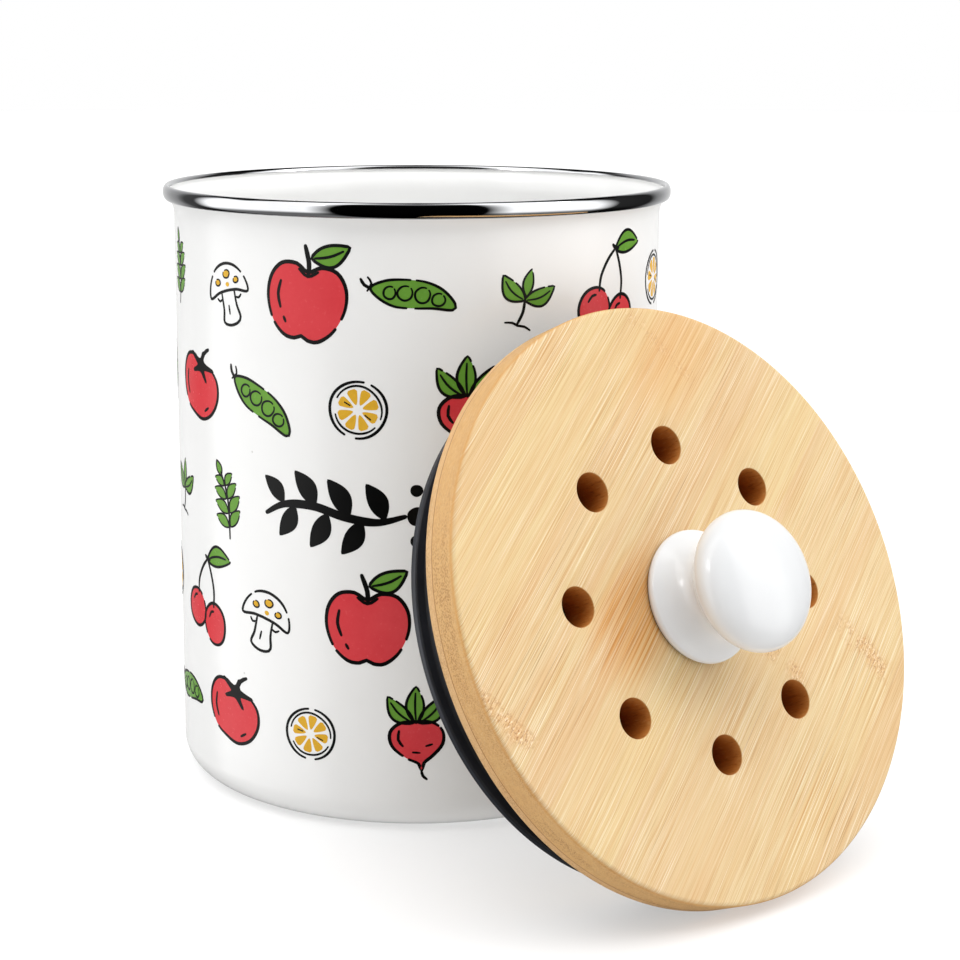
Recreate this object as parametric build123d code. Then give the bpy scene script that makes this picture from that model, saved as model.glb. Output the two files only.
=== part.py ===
from build123d import *
from math import sin, cos, radians, degrees, sqrt, pi, atan2
import os

# ---------------------------------------------------------------------------
# Countertop compost caddy: an enamelled steel canister with a stainless rim
# ring, and a loose bamboo lid (vent holes, ceramic knob, ring seal, charcoal
# filter held by turn clips). Millimetres, +Z up, origin at the centre of the
# canister's base. The lid is off, standing on its rim on the same surface,
# against the canister's front right (+X, -Y).
# ---------------------------------------------------------------------------

# canister
R_WALL = 79.0          # outside radius of the straight wall
T_WALL = 0.8           # steel with enamel on both sides
H_RIM = 194.4          # top of the rim ring
R_CORNER = 10.0        # outside radius of the base corner
BASE_RISE = 1.2        # height of the stiffening ring pressed up into the base
R_STIFF_IN = 45.0      # its inner and outer radii
R_STIFF_OUT = 55.0
STIFF_RAMP = 2.0
FLARE = 9.5            # the wall starts to flare this far below the rim top

# rim ring (a rolled C section clamped over the lip)
R_BEAD = 81.15         # radius of the section's centre
BEAD_A = 1.30          # half width
BEAD_B = 2.40          # half height
T_TRIM = 0.37          # ring metal
LIP_GAP = 0.05         # between the lip's curl and the ring

# lid board (x, y in the board's plane, z outward from its front face)
R_BOARD = 87.35
T_BOARD = 12.4
EDGE_FRONT = 1.5
EDGE_BACK = 0.8
N_VENTS = 8
R_VENT_CIRCLE = 45.3
R_VENT = 5.75
VENT_PHASE = 38.4      # degrees from the board's level axis
R_SCREW_HOLE = 2.3
R_COUNTERBORE = 7.0
D_COUNTERBORE = 4.0

# plug ring glued under the board
R_PLUG = 74.6
R_GROOVE = 72.6        # bottom of the seal groove
R_LEDGE = 55.0         # filter ledge bore
R_POCKET = 59.6        # filter pocket bore
LEDGE_DEPTH = 4.0      # ledge thickness, from the board's back
PLUG_DEPTH = 19.4      # total, from the board's back
GROOVE_START = 1.3
GROOVE_END = 18.1

# seal
R_SEAL_BODY = 75.6
R_SEAL_LIP = 79.2      # free radius; the soft lips squeeze into the 78.2 mouth
REAR_LIP = 2.6         # width of the rear lip
FRONT_LIP = 1.8

# charcoal filter disc
R_FILTER = 59.0
T_FILTER = 14.6

# turn clips
CLIP_ANGLES = (-90.0, 30.0, 150.0)
R_CLIP_PIVOT = 66.6
CLIP_T = 0.8
CLIP_W = 10.0
CLIP_TIP = 50.5        # radius that the tip reaches when closed
CLIP_TAIL = 74.0
CLIP_TAB_H = 3.2
CLIP_GAP = 0.3         # clip to plug face, and clip to screw head
R_CLIP_HOLE = 1.60
R_CLIP_SCREW = 1.54
CLIP_SCREW_LEN = 9.0
R_CLIP_HEAD = 3.0
H_CLIP_HEAD = 1.7

# knob and its fixing
PAD_T = 0.4
R_PAD = 18.7
KNOB_HEAD_R = 20.3
KNOB_HEAD_B = 10.5
KNOB_HEAD_Z = 22.9
R_KNOB_BASE = 19.6
R_KNOB_NECK = 12.6
R_INSERT = 4.0
INSERT_LEN = 15.0
R_SCREW = 2.0
SCREW_TIP_Z = 13.0
R_SCREW_HEAD = 3.8
H_SCREW_HEAD = 2.5
R_WASHER = 5.6
T_WASHER = 1.0

# how the lid stands: heading of its face (from -Y towards +X) and how far the
# face leans back from upright, and where its front centre is
LID_HEADING = 40.05
LID_LEAN = 23.78
LID_X = 80.0
LID_Y = -114.0

out = "parts"
os.makedirs(out, exist_ok=True)
NODES = {}


def rz(r, z):
    """A point of a turned profile in the XZ plane."""
    return (r, 0.0, z)


def poly(*pts):
    """A closed polyline face from (radius, height) points."""
    return make_face(Polyline(*[rz(*p) for p in pts], close=True).edges())


def tangent_arc(start, end, tangent):
    return TangentArc(rz(*start), rz(*end), tangent=(tangent[0], 0.0, tangent[1]))


def line(a, b):
    return Line(rz(*a), rz(*b))


# lid frame -----------------------------------------------------------------
h = radians(LID_HEADING)
lean = radians(LID_LEAN)
N = Vector(sin(h) * cos(lean), -cos(h) * cos(lean), sin(lean))   # out of the face
U = Vector(cos(h), sin(h), 0.0)                                  # level, to the right
V = N.cross(U)                                                   # up the slope
# the rounded back edge of the board just meets the surface it stands on
LID_Z = (T_BOARD - EDGE_BACK) * N.Z + (R_BOARD - EDGE_BACK) * V.Z + EDGE_BACK
LID = Location(Plane(origin=(LID_X, LID_Y, LID_Z), x_dir=U, z_dir=N))


def put(name, shape, on_lid=True):
    shape = LID * shape if on_lid else shape
    shape.label = name
    NODES[name] = shape
    export_step(shape, f"{out}/{name}.step")


# canister shell ------------------------------------------------------------
r_in = R_WALL - T_WALL
z_bead = H_RIM - BEAD_B
z_fl = H_RIM - FLARE
rc_in = R_CORNER - T_WALL
c45 = cos(pi / 4)
wall_profile = [
    line((0, 0), (R_STIFF_IN, 0)),
    line((R_STIFF_IN, 0), (R_STIFF_IN + STIFF_RAMP, BASE_RISE)),
    line((R_STIFF_IN + STIFF_RAMP, BASE_RISE), (R_STIFF_OUT - STIFF_RAMP, BASE_RISE)),
    line((R_STIFF_OUT - STIFF_RAMP, BASE_RISE), (R_STIFF_OUT, 0)),
    line((R_STIFF_OUT, 0), (R_WALL - R_CORNER, 0)),
    ThreePointArc(rz(R_WALL - R_CORNER, 0),
                  rz(R_WALL - R_CORNER + R_CORNER * c45, R_CORNER - R_CORNER * c45),
                  rz(R_WALL, R_CORNER)),
    line((R_WALL, R_CORNER), (R_WALL, z_fl)),
    tangent_arc((R_WALL, z_fl), (R_BEAD - 0.35, z_bead - 1.3), (0, 1)),
    line((R_BEAD - 0.35, z_bead - 1.3), (R_BEAD - 0.75, z_bead + 0.25)),
    tangent_arc((r_in, z_fl), (R_BEAD - 0.75, z_bead + 0.25), (0, 1)),
    line((r_in, z_fl), (r_in, R_CORNER)),
    ThreePointArc(rz(r_in, R_CORNER),
                  rz(R_WALL - R_CORNER + rc_in * c45, R_CORNER - rc_in * c45),
                  rz(R_WALL - R_CORNER, T_WALL)),
    line((R_WALL - R_CORNER, T_WALL), (R_STIFF_OUT + 0.2, T_WALL)),
    line((R_STIFF_OUT + 0.2, T_WALL), (R_STIFF_OUT - STIFF_RAMP + 0.2, BASE_RISE + T_WALL)),
    line((R_STIFF_OUT - STIFF_RAMP + 0.2, BASE_RISE + T_WALL), (R_STIFF_IN + STIFF_RAMP - 0.2, BASE_RISE + T_WALL)),
    line((R_STIFF_IN + STIFF_RAMP - 0.2, BASE_RISE + T_WALL), (R_STIFF_IN - 0.2, T_WALL)),
    line((R_STIFF_IN - 0.2, T_WALL), (0, T_WALL)),
    line((0, T_WALL), (0, 0)),
]
wall_edges = [e for c in wall_profile for e in c.edges()]
shell = revolve(make_face(wall_edges), Axis.Z)
curl_face = Plane.XZ * (Pos(R_BEAD, z_bead) * Ellipse(BEAD_A - T_TRIM - LIP_GAP, BEAD_B - T_TRIM - LIP_GAP))
shell = shell + revolve(curl_face, Axis.Z)
put("canister_shell", shell, on_lid=False)

# rim ring ------------------------------------------------------------------
c_face = Ellipse(BEAD_A, BEAD_B) - Ellipse(BEAD_A - T_TRIM, BEAD_B - T_TRIM)
a0, a1 = radians(150), radians(262)
mouth = [(0, 0)] + [(9 * cos(a), 9 * sin(a)) for a in (a0, a0 + (a1 - a0) / 3, a0 + 2 * (a1 - a0) / 3, a1)]
c_face = c_face - make_face(Polyline(*mouth, close=True).edges())
rim = revolve(Plane.XZ * (Pos(R_BEAD, z_bead) * c_face), Axis.Z)
put("rim_trim", rim, on_lid=False)

# lid board -----------------------------------------------------------------
board = Pos(0, 0, -T_BOARD) * Cylinder(R_BOARD, T_BOARD, align=(Align.CENTER, Align.CENTER, Align.MIN))
board = fillet(board.edges().filter_by(GeomType.CIRCLE).sort_by(Axis.Z)[-1], EDGE_FRONT)
rim_edges = [e for e in board.edges().filter_by(GeomType.CIRCLE) if abs(e.center().Z + T_BOARD) < 1e-6]
board = fillet(rim_edges, EDGE_BACK)
vents = [(R_VENT_CIRCLE * cos(radians(VENT_PHASE + 360 / N_VENTS * k)),
          R_VENT_CIRCLE * sin(radians(VENT_PHASE + 360 / N_VENTS * k))) for k in range(N_VENTS)]
for x, y in vents:
    board = board - Pos(x, y, -T_BOARD / 2) * Cylinder(R_VENT, T_BOARD + 2)
vent_rims = [e for e in board.edges().filter_by(GeomType.CIRCLE)
             if abs(e.radius - R_VENT) < 1e-4]
board = chamfer(vent_rims, 0.3)
board = board - Pos(0, 0, -T_BOARD / 2) * Cylinder(R_SCREW_HOLE, T_BOARD + 2)
board = board - Pos(0, 0, -T_BOARD + D_COUNTERBORE / 2 - 1) * Cylinder(R_COUNTERBORE, D_COUNTERBORE + 2)
put("lid_board", board)

# plug ring -----------------------------------------------------------------
zb = -T_BOARD
ring = revolve(poly((R_LEDGE, zb), (R_PLUG, zb), (R_PLUG, zb - GROOVE_START),
                    (R_GROOVE, zb - GROOVE_START), (R_GROOVE, zb - GROOVE_END),
                    (R_PLUG, zb - GROOVE_END), (R_PLUG, zb - PLUG_DEPTH + 0.7),
                    (R_PLUG - 0.7, zb - PLUG_DEPTH), (R_POCKET + 0.6, zb - PLUG_DEPTH),
                    (R_POCKET, zb - PLUG_DEPTH + 0.6), (R_POCKET, zb - LEDGE_DEPTH),
                    (R_LEDGE, zb - LEDGE_DEPTH)), Axis.Z)
z_face = zb - PLUG_DEPTH
clip_pos = [(R_CLIP_PIVOT * cos(radians(a)), R_CLIP_PIVOT * sin(radians(a))) for a in CLIP_ANGLES]
for x, y in clip_pos:
    ring = ring - Pos(x, y, z_face + (CLIP_SCREW_LEN + 0.4) / 2) * Cylinder(R_CLIP_SCREW, CLIP_SCREW_LEN + 0.4)
put("lid_plug", ring)

# seal: a sleeve in the groove with a front and a rear lip -------------------
s0 = zb - GROOVE_START - 0.05
s1 = zb - GROOVE_END + 0.05
lip_r0 = s1 + 0.1                       # rear lip, from its rear face
seal = revolve(poly((R_GROOVE + 0.03, s0), (R_SEAL_BODY - 0.4, s0), (R_SEAL_BODY, s0 - 0.4),
                    (R_SEAL_BODY, s0 - 1.4),
                    (R_SEAL_LIP - 0.5, s0 - 1.9), (R_SEAL_LIP, s0 - 2.5),
                    (R_SEAL_LIP, s0 - 2.5 - FRONT_LIP + 0.9), (R_SEAL_LIP - 0.5, s0 - 2.5 - FRONT_LIP + 0.4),
                    (R_SEAL_BODY, s0 - 2.5 - FRONT_LIP),
                    (R_SEAL_BODY, lip_r0 + REAR_LIP + 0.6),
                    (R_SEAL_BODY + 0.6, lip_r0 + REAR_LIP),
                    (R_SEAL_LIP - 0.5, lip_r0 + REAR_LIP), (R_SEAL_LIP, lip_r0 + REAR_LIP - 0.5),
                    (R_SEAL_LIP, lip_r0 + 0.5), (R_SEAL_LIP - 0.5, lip_r0),
                    (R_SEAL_BODY + 0.2, lip_r0), (R_SEAL_BODY, s1),
                    (R_GROOVE + 0.03, s1)), Axis.Z)
put("lid_seal", seal)

# charcoal filter -----------------------------------------------------------
z_f = zb - LEDGE_DEPTH - 0.1
filt = Pos(0, 0, z_f - T_FILTER) * Cylinder(R_FILTER, T_FILTER, align=(Align.CENTER, Align.CENTER, Align.MIN))
filt = fillet(filt.edges().filter_by(GeomType.CIRCLE), 1.6)
put("carbon_filter", filt)

# turn clips and their screws ------------------------------------------------
z_c0 = z_face - CLIP_GAP                # clip's upper face
z_c1 = z_c0 - CLIP_T                    # clip's lower face
screws = []
for i, (ang, (cx, cy)) in enumerate(zip(CLIP_ANGLES, clip_pos), 1):
    # drawn along +X from the pivot at the origin, tip towards -X
    tip = CLIP_TIP - R_CLIP_PIVOT
    tail = CLIP_TAIL - R_CLIP_PIVOT
    side = make_face(Polyline(*[rz(*p) for p in [
        (tip, z_c0), (tail - 1.3, z_c0), (tail - 0.38, z_c0 - 0.38), (tail, z_c0 - 1.3),
        (tail, z_c0 - CLIP_TAB_H), (tail - CLIP_T, z_c0 - CLIP_TAB_H),
        (tail - CLIP_T, z_c0 - 1.5), (tail - CLIP_T - 0.2, z_c1 - 0.2), (tail - CLIP_T - 0.7, z_c1), (tip, z_c1)]],
        close=True).edges())
    clip = extrude(side, CLIP_W / 2, dir=(0, 1, 0), both=True)
    tip_edges = [e for e in clip.edges().filter_by(Axis.Z) if abs(e.center().X - tip) < 1e-6]
    clip = fillet(tip_edges, CLIP_W / 2 - 0.1)
    tab_edges = [e for e in clip.edges().filter_by(Axis.X)
                 if abs(e.center().Z - (z_c0 - CLIP_TAB_H)) < 1e-6 and abs(abs(e.center().Y) - CLIP_W / 2) < 1e-6]
    clip = fillet(tab_edges, 1.4)
    clip = clip - Pos(0, 0, z_c0 - 0.4) * Cylinder(R_CLIP_HOLE, 4)
    put(f"filter_clip_{i}", Pos(cx, cy, 0) * Rot(0, 0, ang) * clip)

    z_h = z_c1 - CLIP_GAP               # underside of the screw head
    shank = Pos(0, 0, z_h) * Cylinder(R_CLIP_SCREW, (z_face - z_h) + CLIP_SCREW_LEN,
                                      align=(Align.CENTER, Align.CENTER, Align.MIN))
    head = Pos(0, 0, z_h - H_CLIP_HEAD) * Cylinder(R_CLIP_HEAD, H_CLIP_HEAD,
                                                   align=(Align.CENTER, Align.CENTER, Align.MIN))
    head = fillet(head.edges().filter_by(GeomType.CIRCLE).sort_by(Axis.Z)[0], 1.0)
    for a in (0, 90):
        head = head - Pos(0, 0, z_h - H_CLIP_HEAD) * Rot(0, 0, a + 20 * i) * Box(3.4, 0.7, 1.7)
    screws.append(Pos(cx, cy, 0) * (shank + head))
put("clip_screws", Compound(children=[s.solid() for s in screws]))

# knob pad, knob, insert, screw and washer ------------------------------------
pad = Cylinder(R_PAD, PAD_T, align=(Align.CENTER, Align.CENTER, Align.MIN)) \
    - Cylinder(R_SCREW_HOLE, 4)
put("knob_pad", pad)

zk = PAD_T
knob_top = KNOB_HEAD_Z + KNOB_HEAD_B
# where the neck's curve meets the head's underside
a_join = radians(44)                    # below the head's widest circle
r_join = KNOB_HEAD_R * cos(a_join)
z_join = KNOB_HEAD_Z - KNOB_HEAD_B * sin(a_join)
t_join = Vector(-KNOB_HEAD_R * sin(a_join), 0, -KNOB_HEAD_B * cos(a_join)).normalized()
flange_top = (R_KNOB_BASE - 1.3, zk + 3.4)
profile = [
    line((0, zk), (R_KNOB_BASE - 0.7, zk)),
    ThreePointArc(rz(R_KNOB_BASE - 0.7, zk), rz(R_KNOB_BASE, zk + 1.5), rz(*flange_top)),
    Spline([rz(*flange_top), rz(R_KNOB_NECK + 0.9, 8.6), rz(R_KNOB_NECK, 12.0), rz(r_join, z_join)],
           tangents=[(-0.9, 0, 0.55), tuple(-t_join)]),
]
head_pts = []
for k in range(0, 27):
    a = -a_join + (pi / 2 + a_join) * k / 26
    head_pts.append(rz(KNOB_HEAD_R * cos(a), KNOB_HEAD_Z + KNOB_HEAD_B * sin(a)))
head_pts[-1] = rz(0, knob_top)
profile.append(Spline(head_pts, tangents=[tuple(-t_join), (-1, 0, 0)]))
profile.append(line((0, knob_top), (0, zk)))
knob = revolve(make_face([e for c in profile for e in c.edges()]), Axis.Z)
socket = Cylinder(R_INSERT + 0.05, zk + INSERT_LEN + 0.6, align=(Align.CENTER, Align.CENTER, Align.MIN))
knob = knob - socket
put("knob", knob)

insert = Pos(0, 0, zk + 0.1) * Cylinder(R_INSERT, INSERT_LEN, align=(Align.CENTER, Align.CENTER, Align.MIN)) \
    - Pos(0, 0, zk) * Cylinder(R_SCREW + 0.05, INSERT_LEN + 2, align=(Align.CENTER, Align.CENTER, Align.MIN))
put("knob_insert", insert)

z_cb = -T_BOARD + D_COUNTERBORE         # floor of the counterbore
washer = Pos(0, 0, z_cb - T_WASHER) * (Cylinder(R_WASHER, T_WASHER, align=(Align.CENTER, Align.CENTER, Align.MIN))
                                       - Cylinder(R_SCREW + 0.2, 4))
put("knob_washer", washer)

z_sh = z_cb - T_WASHER
shank = Pos(0, 0, z_sh) * Cylinder(R_SCREW, SCREW_TIP_Z - z_sh, align=(Align.CENTER, Align.CENTER, Align.MIN))
shank = chamfer(shank.edges().filter_by(GeomType.CIRCLE).sort_by(Axis.Z)[-1], 0.5)
head = Pos(0, 0, z_sh - H_SCREW_HEAD) * Cylinder(R_SCREW_HEAD, H_SCREW_HEAD,
                                                 align=(Align.CENTER, Align.CENTER, Align.MIN))
head = fillet(head.edges().filter_by(GeomType.CIRCLE).sort_by(Axis.Z)[0], 1.2)
for a in (0, 90):
    head = head - Pos(0, 0, z_sh - H_SCREW_HEAD) * Rot(0, 0, a + 15) * Box(4.6, 0.9, 2.6)
put("knob_screw", shank + head)

print("lid face centre", LID_X, LID_Y, round(LID_Z, 3), "normal", N, "up the slope", V)
for k, s in NODES.items():
    b = s.bounding_box()
    print(k, "volume", round(s.volume, 1), "z", round(b.min.Z, 3), round(b.max.Z, 3))
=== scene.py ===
import bpy, bmesh, math, random
import numpy as np
from math import sin, cos, pi, radians, hypot, atan2
from mathutils import Matrix, Vector, geometry


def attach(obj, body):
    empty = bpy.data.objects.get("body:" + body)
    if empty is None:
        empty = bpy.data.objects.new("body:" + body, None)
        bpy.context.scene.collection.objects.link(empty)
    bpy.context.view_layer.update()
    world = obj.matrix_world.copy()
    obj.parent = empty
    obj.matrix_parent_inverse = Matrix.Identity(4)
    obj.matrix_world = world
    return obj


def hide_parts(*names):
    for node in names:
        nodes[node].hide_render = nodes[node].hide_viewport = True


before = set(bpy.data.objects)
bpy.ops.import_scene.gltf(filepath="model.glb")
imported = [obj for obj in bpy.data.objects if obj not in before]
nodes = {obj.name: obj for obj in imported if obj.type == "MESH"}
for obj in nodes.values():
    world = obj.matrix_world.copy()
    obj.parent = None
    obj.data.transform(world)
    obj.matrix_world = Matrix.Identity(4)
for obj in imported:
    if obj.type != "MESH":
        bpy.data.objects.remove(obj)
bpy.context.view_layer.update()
MM = 0.001
random.seed(7)

# ---------------------------------------------------------------------------
# the lid's own frame: x level along the board, y up the slope, z out of its
# front face, origin at the middle of the front face
# ---------------------------------------------------------------------------
HEAD, LEAN = radians(40.05), radians(23.78)
N = Vector((sin(HEAD) * cos(LEAN), -cos(HEAD) * cos(LEAN), sin(LEAN)))
U = Vector((cos(HEAD), sin(HEAD), 0.0))
V = N.cross(U)
T_BOARD, R_BOARD, EDGE_FRONT, EDGE_BACK = 12.4, 87.34, 1.5, 0.8
LID_Z = (T_BOARD - EDGE_BACK) * N.z + (R_BOARD - EDGE_BACK) * V.z + EDGE_BACK
C = Vector((80.0, -114.0, LID_Z)) * MM
LID = Matrix(((U.x, V.x, N.x, C.x), (U.y, V.y, N.y, C.y), (U.z, V.z, N.z, C.z), (0, 0, 0, 1)))


# ---------------------------------------------------------------------------
# node material helpers
# ---------------------------------------------------------------------------
def lin(h):
    """sRGB hex to a linear colour."""
    out = []
    for i in (0, 2, 4):
        c = int(h[i:i + 2], 16) / 255
        out.append(c / 12.92 if c <= 0.04045 else ((c + 0.055) / 1.055) ** 2.4)
    return (*out, 1.0)


class Nodes:
    def __init__(self, name):
        self.mat = bpy.data.materials.new(name)
        self.mat.use_nodes = True
        self.t = self.mat.node_tree
        self.t.nodes.clear()
        self.out = self.t.nodes.new("ShaderNodeOutputMaterial")
        self.b = self.t.nodes.new("ShaderNodeBsdfPrincipled")
        self.t.links.new(self.b.outputs[0], self.out.inputs[0])
        self.tc = self.t.nodes.new("ShaderNodeTexCoord")

    def lid(self):
        """Place in the lid's own frame, in metres."""
        p = self.vec("SUBTRACT", self.tc.outputs["Object"], tuple(C))
        return tuple(self.vec("DOT_PRODUCT", p, tuple(e)) for e in (U, V, N))

    def lid_normal(self):
        n = self.tc.outputs["Normal"]
        return tuple(self.vec("DOT_PRODUCT", n, tuple(e)) for e in (U, V, N))

    def put(self, socket, v):
        if isinstance(v, bpy.types.NodeSocket):
            self.t.links.new(v, socket)
        else:
            socket.default_value = v

    def math(self, op, a, b=None, c=None, clamp=False):
        n = self.t.nodes.new("ShaderNodeMath")
        n.operation = op
        n.use_clamp = clamp
        for i, v in enumerate((a, b, c)):
            if v is not None:
                self.put(n.inputs[i], v)
        return n.outputs[0]

    def vec(self, op, a, b=None, scale=None):
        n = self.t.nodes.new("ShaderNodeVectorMath")
        n.operation = op
        self.put(n.inputs[0], a)
        if b is not None:
            self.put(n.inputs[1], b)
        if scale is not None:
            self.put(n.inputs["Scale"], scale)
        return n.outputs["Value"] if op in ("DOT_PRODUCT", "LENGTH", "DISTANCE") else n.outputs[0]

    def xyz(self, v):
        n = self.t.nodes.new("ShaderNodeSeparateXYZ")
        self.put(n.inputs[0], v)
        return n.outputs[0], n.outputs[1], n.outputs[2]

    def join(self, x, y, z):
        n = self.t.nodes.new("ShaderNodeCombineXYZ")
        for i, v in enumerate((x, y, z)):
            self.put(n.inputs[i], v)
        return n.outputs[0]

    def noise(self, v, scale=1.0, detail=2.0, rough=0.5, distort=0.0, dims="3D"):
        n = self.t.nodes.new("ShaderNodeTexNoise")
        n.noise_dimensions = dims
        self.put(n.inputs["Vector"], v)
        n.inputs["Scale"].default_value = scale
        n.inputs["Detail"].default_value = detail
        n.inputs["Roughness"].default_value = rough
        n.inputs["Distortion"].default_value = distort
        return n.outputs["Fac"]

    def white(self, v):
        n = self.t.nodes.new("ShaderNodeTexWhiteNoise")
        n.noise_dimensions = "3D"
        self.put(n.inputs["Vector"], v)
        return n.outputs["Value"]

    def voronoi(self, v, scale=1.0, feature="F1", rand=1.0, out="Distance"):
        n = self.t.nodes.new("ShaderNodeTexVoronoi")
        n.feature = feature
        self.put(n.inputs["Vector"], v)
        n.inputs["Scale"].default_value = scale
        n.inputs["Randomness"].default_value = rand
        return n.outputs[out]

    def ramp(self, fac, stops, interp="LINEAR"):
        n = self.t.nodes.new("ShaderNodeValToRGB")
        n.color_ramp.interpolation = interp
        el = n.color_ramp.elements
        while len(el) < len(stops):
            el.new(0.5)
        for e, (p, c) in zip(el, stops):
            e.position = p
            e.color = c if isinstance(c, tuple) else (c, c, c, 1)
        self.put(n.inputs[0], fac)
        return n.outputs[0]

    def step(self, v, lo, hi, smooth=True, a=0.0, b=1.0):
        n = self.t.nodes.new("ShaderNodeMapRange")
        n.interpolation_type = "SMOOTHSTEP" if smooth else "LINEAR"
        self.put(n.inputs["Value"], v)
        n.inputs["From Min"].default_value = lo
        n.inputs["From Max"].default_value = hi
        n.inputs["To Min"].default_value = a
        n.inputs["To Max"].default_value = b
        return n.outputs[0]

    def mix(self, fac, a, b, blend="MIX"):
        n = self.t.nodes.new("ShaderNodeMix")
        n.data_type = "RGBA"
        n.blend_type = blend
        self.put(n.inputs[0], fac)
        self.put(n.inputs[6], a)
        self.put(n.inputs[7], b)
        return n.outputs[2]

    def bump(self, height, strength, distance, normal=None):
        n = self.t.nodes.new("ShaderNodeBump")
        n.inputs["Strength"].default_value = strength
        n.inputs["Distance"].default_value = distance
        self.put(n.inputs["Height"], height)
        if normal is not None:
            self.put(n.inputs["Normal"], normal)
        return n.outputs[0]

    def set(self, **kw):
        for k, v in kw.items():
            self.put(self.b.inputs[k.replace("_", " ")], v)
        return self


# ---------------------------------------------------------------------------
# bamboo
# ---------------------------------------------------------------------------
GRAIN = radians(39.5)
# culm nodes, which cross the strips: place along the grain, from and to across it, spread, strength
CULM = [(-74.2, 26.0, 48.0, 3.8, 1.0), (6.2, -45.0, -19.0, 3.8, 0.72), (31.6, -75.0, -49.0, 4.2, 1.0), (58.0, 34.0, 64.0, 2.6, 0.30)]


def bamboo(name, burnt=False):
    m = Nodes(name)
    x, y, z = m.lid()
    g0, g1 = cos(GRAIN), sin(GRAIN)
    mul, add, sub = (lambda p, q: m.math("MULTIPLY", p, q)), (lambda p, q: m.math("ADD", p, q)), (lambda p, q: m.math("SUBTRACT", p, q))
    a = add(mul(x, g0), mul(y, g1))
    b0 = add(mul(x, -g1), mul(y, g0))
    # front ply and back ply of the board, then the plug ring: each is its own lay-up
    ply = add(m.math("LESS_THAN", z, -0.0092), mul(m.math("LESS_THAN", z, -0.01245), 2.0))
    # slow sideways drift of the fibres
    drift = m.noise(m.join(mul(a, 8.0), mul(b0, 16.0), mul(ply, 3.7)), 1.0, 2.0)
    b = add(b0, mul(sub(drift, 0.5), 0.0022))
    bo = add(b, mul(ply, 0.0137))

    # fibres at several sizes, long along the grain
    deep = m.math("MINIMUM", add(z, 0.0018), 0.0)

    def streak(ka, kb, seed, detail=2.0, rough=0.5):
        return m.noise(m.join(mul(a, ka), add(mul(bo, kb), seed), mul(deep, kb * 0.8)), 1.0, detail, rough)

    # strips glued side by side, each a little different
    sb = m.math("DIVIDE", bo, 0.0125)
    idx = m.math("FLOOR", sb)
    tone = m.white(m.join(idx, ply, 3.0))
    hue = m.white(m.join(idx, ply, 9.0))
    fr = m.math("FRACT", sb)
    joint = m.step(m.math("MINIMUM", fr, sub(1.0, fr)), 0.003, 0.014, a=1.0, b=0.0)
    broad = streak(2.5, 90.0, 1.3, 2.0)
    mid = streak(5.0, 330.0, 5.1, 2.0, 0.5)
    half = streak(14.0, 900.0, 27.0, 2.0, 0.5)
    fine = streak(17.0, 2000.0, 8.9, 3.0, 0.6)
    thin = streak(24.0, 4000.0, 14.2, 2.0, 0.7)
    pale = streak(18.0, 3600.0, 33.0, 2.0, 0.65)
    dark = streak(24.0, 3000.0, 21.0, 2.0, 0.6)
    zone = m.noise(m.join(mul(a, 12.0), mul(bo, 38.0), 4.0), 1.0, 2.0)
    col = m.ramp(add(mul(broad, 0.72), mul(tone, 0.28)),
                 [(0.22, lin("CDAC80")), (0.42, lin("D0B48A")), (0.58, lin("D2BB8F")), (0.80, lin("D6C298"))])
    col = m.mix(mul(hue, 0.25), col, lin("D9C587"))
    col = m.mix(m.step(mid, 0.40, 0.64, a=0.0, b=0.13), col, lin("CE9F69"))
    col = m.mix(m.step(half, 0.44, 0.66, a=0.0, b=0.16), col, lin("CB985F"))
    col = m.mix(m.step(fine, 0.48, 0.66, a=0.0, b=0.31), col, lin("C6925A"))
    col = m.mix(mul(m.step(thin, 0.48, 0.64), m.step(zone, 0.30, 0.66, a=0.45, b=0.72)), col, lin("B78342"))
    col = m.mix(mul(m.step(pale, 0.54, 0.66), m.step(zone, 0.30, 0.66, a=0.38, b=0.72)), col, lin("E8DFC4"))
    dk = mul(m.step(dark, 0.60, 0.70), m.step(zone, 0.40, 0.66, a=0.15, b=0.85))
    col = m.mix(mul(dk, 0.80), col, lin("8E6434"))
    # warmer growth near the top edge
    wa, wb = m.math("DIVIDE", sub(a, 0.060), 0.034), m.math("DIVIDE", sub(b0, 0.043), 0.016)
    warm = m.step(m.math("SQRT", add(mul(wa, wa), mul(wb, wb))), 1.2, 0.2, a=0.0, b=0.42)
    col = m.mix(warm, col, lin("D09C5C"))
    # an orange patch of denser fibres at the knob's lower left, its darker orange also painted contact shade from the
    # knob
    px_, py_ = sub(x, -0.0242), sub(y, -0.0005)
    pa = m.math("DIVIDE", add(mul(px_, g0), mul(py_, g1)), 0.027)
    pb = m.math("DIVIDE", add(mul(px_, -g1), mul(py_, g0)), 0.016)
    knob_shade_patch = m.step(m.math("SQRT", add(mul(pa, pa), mul(pb, pb))), 1.15, 0.25, a=0.0, b=1.0)
    flush_and_knob_shade = m.math("MAXIMUM", knob_shade_patch, m.step(zone, 0.62, 0.80, a=0.0, b=0.22))
    red = streak(9.0, 1300.0, 41.0, 3.0, 0.65)
    col = m.mix(mul(flush_and_knob_shade, m.step(red, 0.42, 0.60, a=0.20, b=0.62)), col, lin("CE8826"))
    # darker brown streaks inside the patch: painted contact shade under the knob
    knob_shade_streak = streak(16.0, 2700.0, 57.0, 2.0, 0.6)
    col = m.mix(mul(knob_shade_patch, m.step(knob_shade_streak, 0.50, 0.61, a=0.02, b=0.74)), col, lin("B06810"))
    col = m.mix(mul(joint, 0.12), col, lin("A07448"))
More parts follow.
